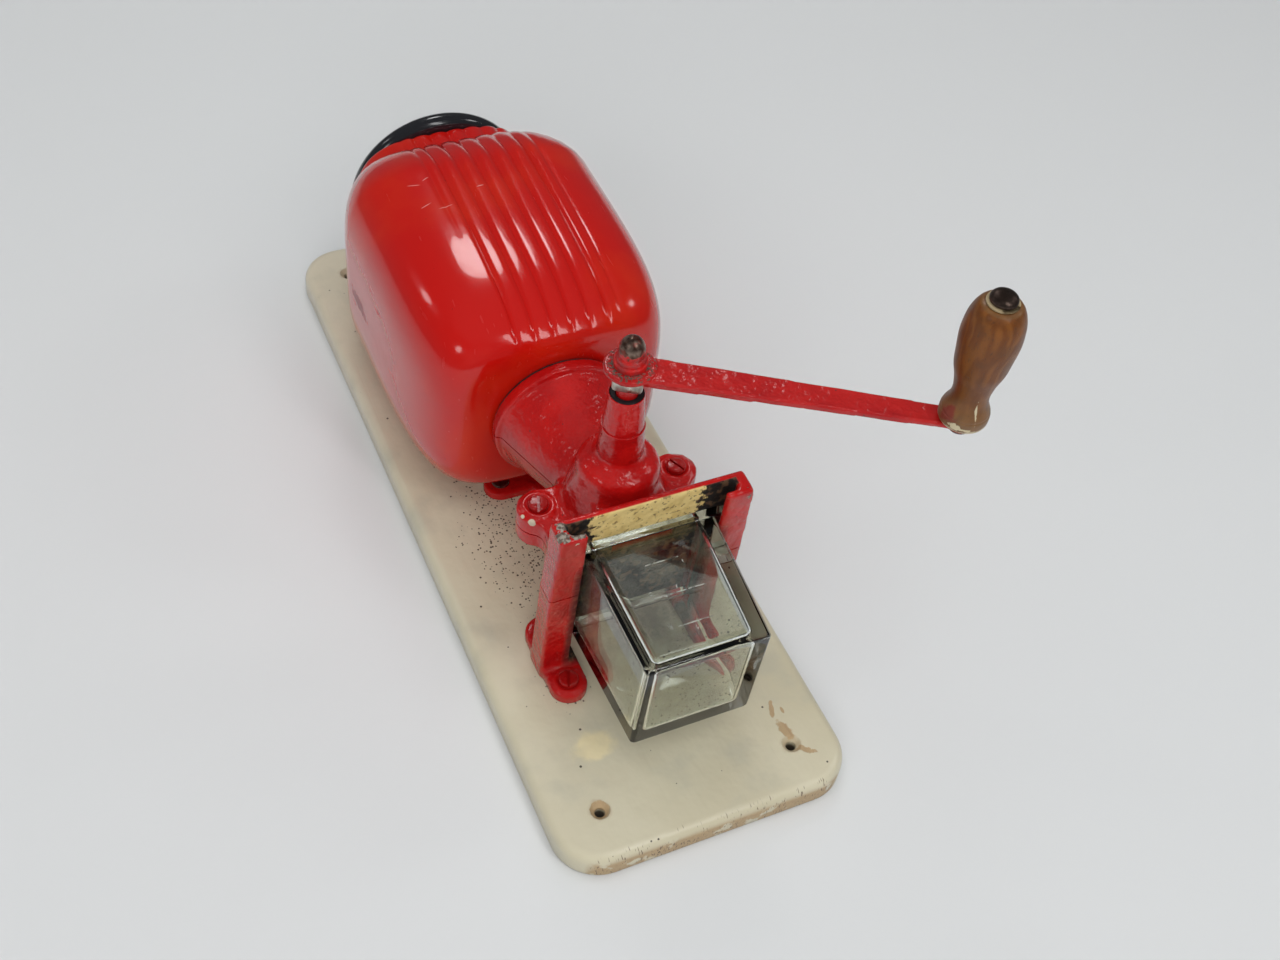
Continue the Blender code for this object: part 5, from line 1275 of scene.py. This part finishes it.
class MILL_OT_spindle(bpy.types.Operator):
    """Model what shows of the spindle: collar, dust ring, square washer and domed nut"""
    bl_idname = "mill.spindle"
    bl_label = "Spindle"

    def execute(self, context):
        s = context.scene.mill_castings
        low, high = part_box("spindle_collar")
        collar = on_shaft(ring(0.0038, high.x, low.z, high.z))
        piece("collar_body", collar, red_paint("red_collar_paint", tinted(s.paint, 0.9, 0.9, 0.9), 0.2), "crank",
              ["spindle_collar"])
        low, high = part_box("dust_ring")
        seal = on_shaft(ring(high.x - 0.0019, high.x + 0.0001, low.z, high.z + 0.0003, 0.0007))
        piece("dust_ring_body", seal, plain("dark_felt", (0.012, 0.012, 0.014), 0.7), "root",
              ["dust_ring"])
        low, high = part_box("crank_washer")
        half, corner, edge, hole = 0.006, 0.002, 0.0004, 0.0047
        washer = rounded(box((-half, -half, low.z), (half, half, high.z)), corner, 5, upright)
        washer = rounded(washer, edge, 2, sharp)
        washer = cut(washer, disc(hole, low.z - PAST, high.z + PAST, 48))
        piece("washer_body", on_arm(washer), metal("bright_washer_steel", (0.66, 0.64, 0.58), 0.25), "crank",
              ["crank_washer"])
        low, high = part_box("acorn_nut")
        radius, waist, foot, bore, rise, roof = 0.0051, 0.0058, 0.0068, 0.0036, 0.0058, 0.0045
        dome = arc((0, high.z - rise), radius, 0, pi / 2, 10, rise)[:-1]
        profile = [(0, high.z - roof), (bore, high.z - roof), (bore, low.z), (foot - 0.0002, low.z)]
        profile += rounding(foot, low.z + 0.0027, 0.0006, 4) + [(waist + 0.0001, low.z + 0.0028)]
        profile += rounding(waist, low.z + 0.0049, 0.0004, 4) + [(radius, low.z + 0.0052)]
        nut = on_shaft(turned(profile + dome + [(0, high.z)], 48))
        piece("nut_body", nut, nut_metal(s), "crank", ["acorn_nut"])
        return {"FINISHED"}


class MILL_OT_crank(bpy.types.Operator):
    """Model the flat crank arm with its raised eye"""
    bl_idname = "mill.crank"
    bl_label = "Crank arm"

    def execute(self, context):
        s = context.scene.mill_crank
        low, high = ARM_LOW, ARM_LOW + s.thick
        rim = s.eye - 0.0002
        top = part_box("crank_arm")[1].z
        bar = between(box((-0.001, -s.root / 2, low), (0.001, s.root / 2, high)),
                      box((ARM_LENGTH - 0.003, -s.tip / 2 + s.bend, low + s.thinner),
                          (ARM_LENGTH - 0.002, s.tip / 2 + s.bend, high)))
        under = [(0, low), (s.eye - 0.0036, low), (s.eye - 0.0008, low + 0.0022)]
        skins = fused(gather(turned(under + [(rim, high), (0, high)]), bar,
                             shifted(disc(s.tip_radius, low + s.thinner, high), ARM_LENGTH, 0)), s.voxel, 0.004, 0)
        eye = turned(under + [(rim, low + 0.0032), (s.eye - 0.0006, top - 0.0003), (s.eye - 0.0010, top), (0, top)])
        arm = mark_edges(fused(gather(skins, eye), s.voxel, 0, 3), 6, s.voxel)
        arm = cut(arm, box((-SQUARE_HALF, -SQUARE_HALF, low - PAST), (SQUARE_HALF, SQUARE_HALF, top + PAST)),
                  shifted(disc(GRIP_BORE, low - PAST, high + PAST, 32), ARM_LENGTH, 0))
        rubbed = ((0.0, SHAFT_Y, top), (0.0092, 0.0092, 0.0012), {"Ragged": 3.4, "Grain": 700.0, "Soft": 0.5})
        look = red_paint("red_crank_paint", s.paint, 0.47, [rubbed])
        piece("crank_arm_body", on_arm(arm), look, "crank", ["crank_arm"], 50)
        return {"FINISHED"}


def grip_outline(low, high):
    """The turned outline of the grip: foot, neck, belly and rounded top."""
    stations = [(0.0, 0.0092), (0.0010, 0.0096), (0.0044, 0.0096), (0.0050, 0.0093), (0.0056, 0.0093),
                (0.0068, 0.0088), (0.0097, 0.0076), (0.0126, 0.0072), (0.0155, 0.0073), (0.0210, 0.0083),
                (0.0270, 0.00995), (0.0330, 0.0107), (0.0375, 0.0112), (0.0417, 0.0115), (0.0460, 0.0113),
                (0.0500, 0.0108), (0.0534, 0.0098)]
    points = []
    for before, start, end, after in zip(stations[:1] + stations, stations, stations[1:],
                                         stations[2:] + stations[-1:]):
        for step in range(5):
            t = step / 5
            first = (end[1] - before[1]) * (end[0] - start[0]) / max(1e-6, end[0] - before[0])
            second = (after[1] - start[1]) * (end[0] - start[0]) / max(1e-6, after[0] - start[0])
            radius = ((2 * t ** 3 - 3 * t ** 2 + 1) * start[1] + (t ** 3 - 2 * t ** 2 + t) * first +
                      (3 * t ** 2 - 2 * t ** 3) * end[1] + (t ** 3 - t ** 2) * second)
            points.append((radius, low + start[0] + (end[0] - start[0]) * t))
    points += [(0.0098, low + 0.0534), (0.0089, low + 0.0553), (0.0080, low + 0.0565), (0.0070, high)]
    return points


class MILL_OT_grip(bpy.types.Operator):
    """Model the turned wooden grip with its rivet and washers"""
    bl_idname = "mill.grip"
    bl_label = "Grip"

    def execute(self, context):
        s = context.scene.mill_grip
        arm = context.scene.mill_crank
        x, y = GRIP_MIDDLE.x, GRIP_MIDDLE.y
        outline = [(GRIP_BORE, GRIP_LOW.z)] + grip_outline(GRIP_LOW.z, GRIP_HIGH.z) + [(GRIP_BORE, GRIP_HIGH.z)]
        piece("grip_body", shifted(turned(outline, 72, closed=True), x, y), grip_wood(s), "handle",
              ["handle_grip"], 50)
        pale = metal("tarnished_washer", (0.40, 0.31, 0.18), 0.5, (0.36, 0.28, 0.16), 0.55)
        for name in ("lower_grip_washer", "upper_grip_washer"):
            low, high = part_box(name)
            washer = ring(GRIP_BORE, high.x - x, low.z, high.z, 0.0002)
            piece(name + "_body", shifted(washer, x, y), pale, "crank", [name])
        low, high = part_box("handle_rivet")
        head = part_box("upper_grip_washer")[1].z + PLAY
        rise = high.z - head
        dome = [(0.0053 * cos(a) ** 0.8, head + rise * (0.22 + 0.78 * sin(a))) for a in
                (pi / 2 * step / 10 for step in range(10))]
        under = ARM_LOW + arm.thinner - PLAY
        tail, shank = 0.0042, GRIP_BORE - PLAY
        rivet = [(0, low.z), (tail - 0.0006, low.z), (tail, low.z + 0.0006), (tail, under), (shank, under),
                 (shank, head), (0.0051, head)] + dome + [(0, high.z)]
        piece("rivet_body", shifted(turned(rivet, 48), x, y), metal("dark_rivet_steel", (0.10, 0.070, 0.058), 0.36),
              "crank", ["handle_rivet"], 50)
        return {"FINISHED"}


def glass_box(y_low, y_high, half_low, half_high, bottom, top, taper, corner, end_round):
    """A tapered box with round upright corners, in the bracket's frame."""
    bm = box((-half_high, y_low, bottom), (half_high, y_high, top))
    for vert in bm.verts:
        if vert.co.y < (y_low + y_high) / 2:
            vert.co.x *= half_low / half_high
            vert.co.z += taper if vert.co.z < 0 else -taper
    rounded(bm, corner, 6, lambda edge: abs(edge.verts[0].co.y - edge.verts[1].co.y) > (y_high - y_low) / 2)
    return rounded(bm, end_round, 4, lambda edge: level(edge, 1, y_low))


class MILL_OT_glass(bpy.types.Operator):
    """Model the pressed glass catcher with its graduations and the dust inside"""
    bl_idname = "mill.glass"
    bl_label = "Glass catcher"

    def execute(self, context):
        s = context.scene.mill_glass
        wall, draft, inset = s.wall, 0.0015, 0.0007
        end_half, mouth_half = 0.0264, 0.0288
        low, high = -0.036, 0.024
        rim_y, end = -PLAY, -PLAY - 0.061
        start = rim_y - 0.001
        body = glass_box(end, start, end_half, mouth_half, low + inset, high - inset, draft, s.corner, 0.0016)
        rim = glass_box(-PLAY - 0.004, rim_y, 0.034, 0.034, low, high, 0.0, 0.0022, 0.0008)
        hollow = glass_box(end + wall, rim_y + PAST, end_half - wall, mouth_half - wall, low + wall, high - wall,
                           draft, s.inner_corner, 0.0030)
        shell = cut(joined(body, rim), hollow)
        piece("glass_body", leaning(shell), pressed_glass(s), "catcher", ["catcher_glass"])
        # The dust lies just inside the hollow, open at its mouth
        gap, top = 0.0002, rim_y - 0.004
        back = wall + gap
        film = glass_box(end + back, top, end_half - back, mouth_half - back, low + back, high - back, draft,
                         s.inner_corner, 0.0028)
        mouth = [face for face in film.faces if level(face, 1, top)]
        bmesh.ops.delete(film, geom=mouth, context="FACES")
        piece("coffee_dust", leaning(film), dust_film(), "catcher")
        # Three raised lines on the upper face, with plain strokes for the figures: place and half size of each
        strokes = [(-0.0010, -0.0169, 0.0071, 0.00014), (0.0002, -0.0318, 0.0110, 0.00014),
                   (0.0006, -0.0460, 0.0074, 0.00014), (-0.0094, -0.0450, 0.00016, 0.0013),
                   (-0.0104, -0.0450, 0.00016, 0.0013), (-0.0112, -0.0302, 0.0006, 0.00016),
                   (-0.0112, -0.0288, 0.0006, 0.00016), (0.0070, -0.0200, 0.00016, 0.0013)]
        lines = []
        for x, y, half_x, half_y in strokes:
            face = high - inset + draft * (start - y) / (end - start)
            lines.append(box((x - half_x, y - half_y, face - 0.0003), (x + half_x, y + half_y, face + 0.0001)))
        # The raised lines and strokes take a painted gleam
        piece("glass_graduations", leaning(gather(*lines)), painted_gleam_ridge(), "catcher")
        return {"FINISHED"}


class MILL_OT_hidden(bpy.types.Operator):
    """Finish the pieces inside the castings: burrs, worm, spring, bushes and spindle"""
    bl_idname = "mill.hidden"
    bl_label = "Hidden pieces"

    def execute(self, context):
        dress(["inner_burr", "outer_burr", "feed_worm"], metal("burr_iron", (0.22, 0.21, 0.20), 0.45))
        dress(["rear_bush", "front_bush"], metal("bush_brass", (0.60, 0.42, 0.18), 0.32))
        dress(["spindle", "burr_spring", "burr_pin", "thrust_pad"], metal("spindle_steel", (0.45, 0.43, 0.40), 0.30))
        return {"FINISHED"}


# The camera's place, and its azimuth, elevation and roll
CAMERA_PLACE = Vector((-0.20489, -0.44021, 0.57141))
CAMERA_TURN = (radians(-30.146), radians(48.583), radians(8.131))


def camera_matrix():
    """Where the camera stands, from its azimuth, elevation and roll."""
    azimuth, elevation, roll = CAMERA_TURN
    back = Vector((sin(azimuth) * cos(elevation), -cos(azimuth) * cos(elevation), sin(elevation)))
    right = Vector((0, 0, 1)).cross(back).normalized()
    up = back.cross(right)
    side = right * cos(roll) + up * sin(roll)
    top = up * cos(roll) - right * sin(roll)
    turn = Matrix((side, top, back)).transposed().to_4x4()
    return Matrix.Translation(CAMERA_PLACE) @ turn


def lamp(name, place, target, size, power):
    """An oval area light that looks at a target."""
    data = bpy.data.lights.new(name, "AREA")
    data.shape = "ELLIPSE"
    data.size, data.size_y = size
    data.energy = power
    made = bpy.data.objects.new(name, data)
    made.location = place
    made.rotation_euler = (Vector(target) - Vector(place)).to_track_quat("-Z", "Y").to_euler()
    made.visible_camera = False
    bpy.context.scene.collection.objects.link(made)
    return made


class MILL_OT_stage(bpy.types.Operator):
    """Set the pale table, the studio lights, the world and the camera"""
    bl_idname = "mill.stage"
    bl_label = "Stage"

    def execute(self, context):
        s = context.scene.mill_stage
        floor = bmesh.new()
        bmesh.ops.create_circle(floor, cap_ends=True, segments=96, radius=6.0)
        mesh = bpy.data.meshes.new("table")
        shifted(floor, 0, 0, -PLAY).to_mesh(mesh)
        floor.free()
        table = bpy.data.objects.new("table", mesh)
        bpy.context.scene.collection.objects.link(table)
        mesh.materials.append(finish("pale_table", Roughness=0.75, Specular_IOR_Level=0.2,
                                     Base_Color=rgba(s.floor))[0])
        world = bpy.data.worlds.new("studio")
        world.use_nodes = True
        # A dim ceiling over walls that are paler on the left. The camera sees an even pale grey instead.
        sky = Nodes(world.node_tree, "Generated")
        wall = sky.mixed(sky.remap(sky.axis(0), -0.5, 0.7), (0.17, 0.172, 0.175), (0.10, 0.10, 0.105))
        room = sky.mixed(sky.remap(sky.axis(2), 0.05, 0.55), wall, (0.125, 0.127, 0.128))
        seen = sky.add("LightPath").outputs["Is Camera Ray"]
        sky.tree.links.new(sky.mixed(seen, room, (0.60, 0.61, 0.62)), sky.tree.nodes["Background"].inputs["Color"])
        context.scene.world = world
        # Small lamps round the mill, each with its direction, its size and its share of their power
        target, distance = Vector((0, 0, 0.08)), 1.3
        for name, towards, size, share in (("back_right", (0.18, 0.615, 0.75), (0.28, 0.27), 0.95),
                                           ("back_left", (-0.60, 0.50, 0.57), (0.14, 0.20), 0.24),
                                           ("left", (-0.74, -0.30, 0.60), (0.24, 0.26), 0.5),
                                           ("front", (0.24, -0.64, 0.82), (0.20, 0.85), 1.4),
                                           ("right", (0.77, -0.12, 0.62), (0.24, 0.24), 0.5)):
            lamp(name, target + Vector(towards).normalized() * distance, target, size, s.lamps * share)
        # Two wide soft lights, which make no highlights
        lamp("ceiling", (0, 0, 2.5), (0, 0, 0), (3.0, 3.0), s.ceiling).visible_glossy = False
        lamp("fill", (-0.9, -1.9, 1.35), (0, 0, 0.06), (2.0, 2.0), s.fill).visible_glossy = False
        view = bpy.data.cameras.new("camera")
        view.lens = s.lens
        view.sensor_width = 36.0
        view.clip_start = 0.01
        camera = bpy.data.objects.new("camera", view)
        context.scene.collection.objects.link(camera)
        camera.matrix_world = camera_matrix()
        context.scene.camera = camera
        context.scene.view_settings.view_transform = "Standard"
        return {"FINISHED"}


OPERATORS = [MILL_OT_board, MILL_OT_castings, MILL_OT_screws, MILL_OT_hopper, MILL_OT_lid, MILL_OT_spindle,
             MILL_OT_crank, MILL_OT_grip, MILL_OT_glass, MILL_OT_hidden, MILL_OT_stage]
SETTINGS = {"mill_board": BoardSettings, "mill_castings": CastingSettings, "mill_hopper": HopperSettings,
            "mill_lid": LidSettings, "mill_crank": CrankSettings, "mill_grip": GripSettings,
            "mill_glass": GlassSettings, "mill_stage": StageSettings}


class MILL_PT_panel(bpy.types.Panel):
    """Lists the mill's pieces with their settings"""
    bl_idname = "MILL_PT_panel"
    bl_label = "Mill"
    bl_space_type = "VIEW_3D"
    bl_region_type = "UI"
    bl_category = "Mill"

    def draw(self, context):
        for operator in OPERATORS:
            self.layout.operator(operator.bl_idname)
        for name, group in SETTINGS.items():
            section = self.layout.box()
            for label in group.__annotations__:
                section.prop(getattr(context.scene, name), label)


def register():
    """Add the settings, the operators and the panel."""
    for group in [*SETTINGS.values(), *OPERATORS, MILL_PT_panel]:
        bpy.utils.register_class(group)
    for name, group in SETTINGS.items():
        setattr(bpy.types.Scene, name, PointerProperty(type=group))


def unregister():
    """Take the panel, the operators and the settings away again."""
    for name in SETTINGS:
        delattr(bpy.types.Scene, name)
    for group in reversed([*SETTINGS.values(), *OPERATORS, MILL_PT_panel]):
        bpy.utils.unregister_class(group)


def main():
    """Make every piece and the stage."""
    register()
    for operator in OPERATORS:
        group, name = operator.bl_idname.split(".")
        getattr(getattr(bpy.ops, group), name)()


if __name__ == "__main__":
    main()
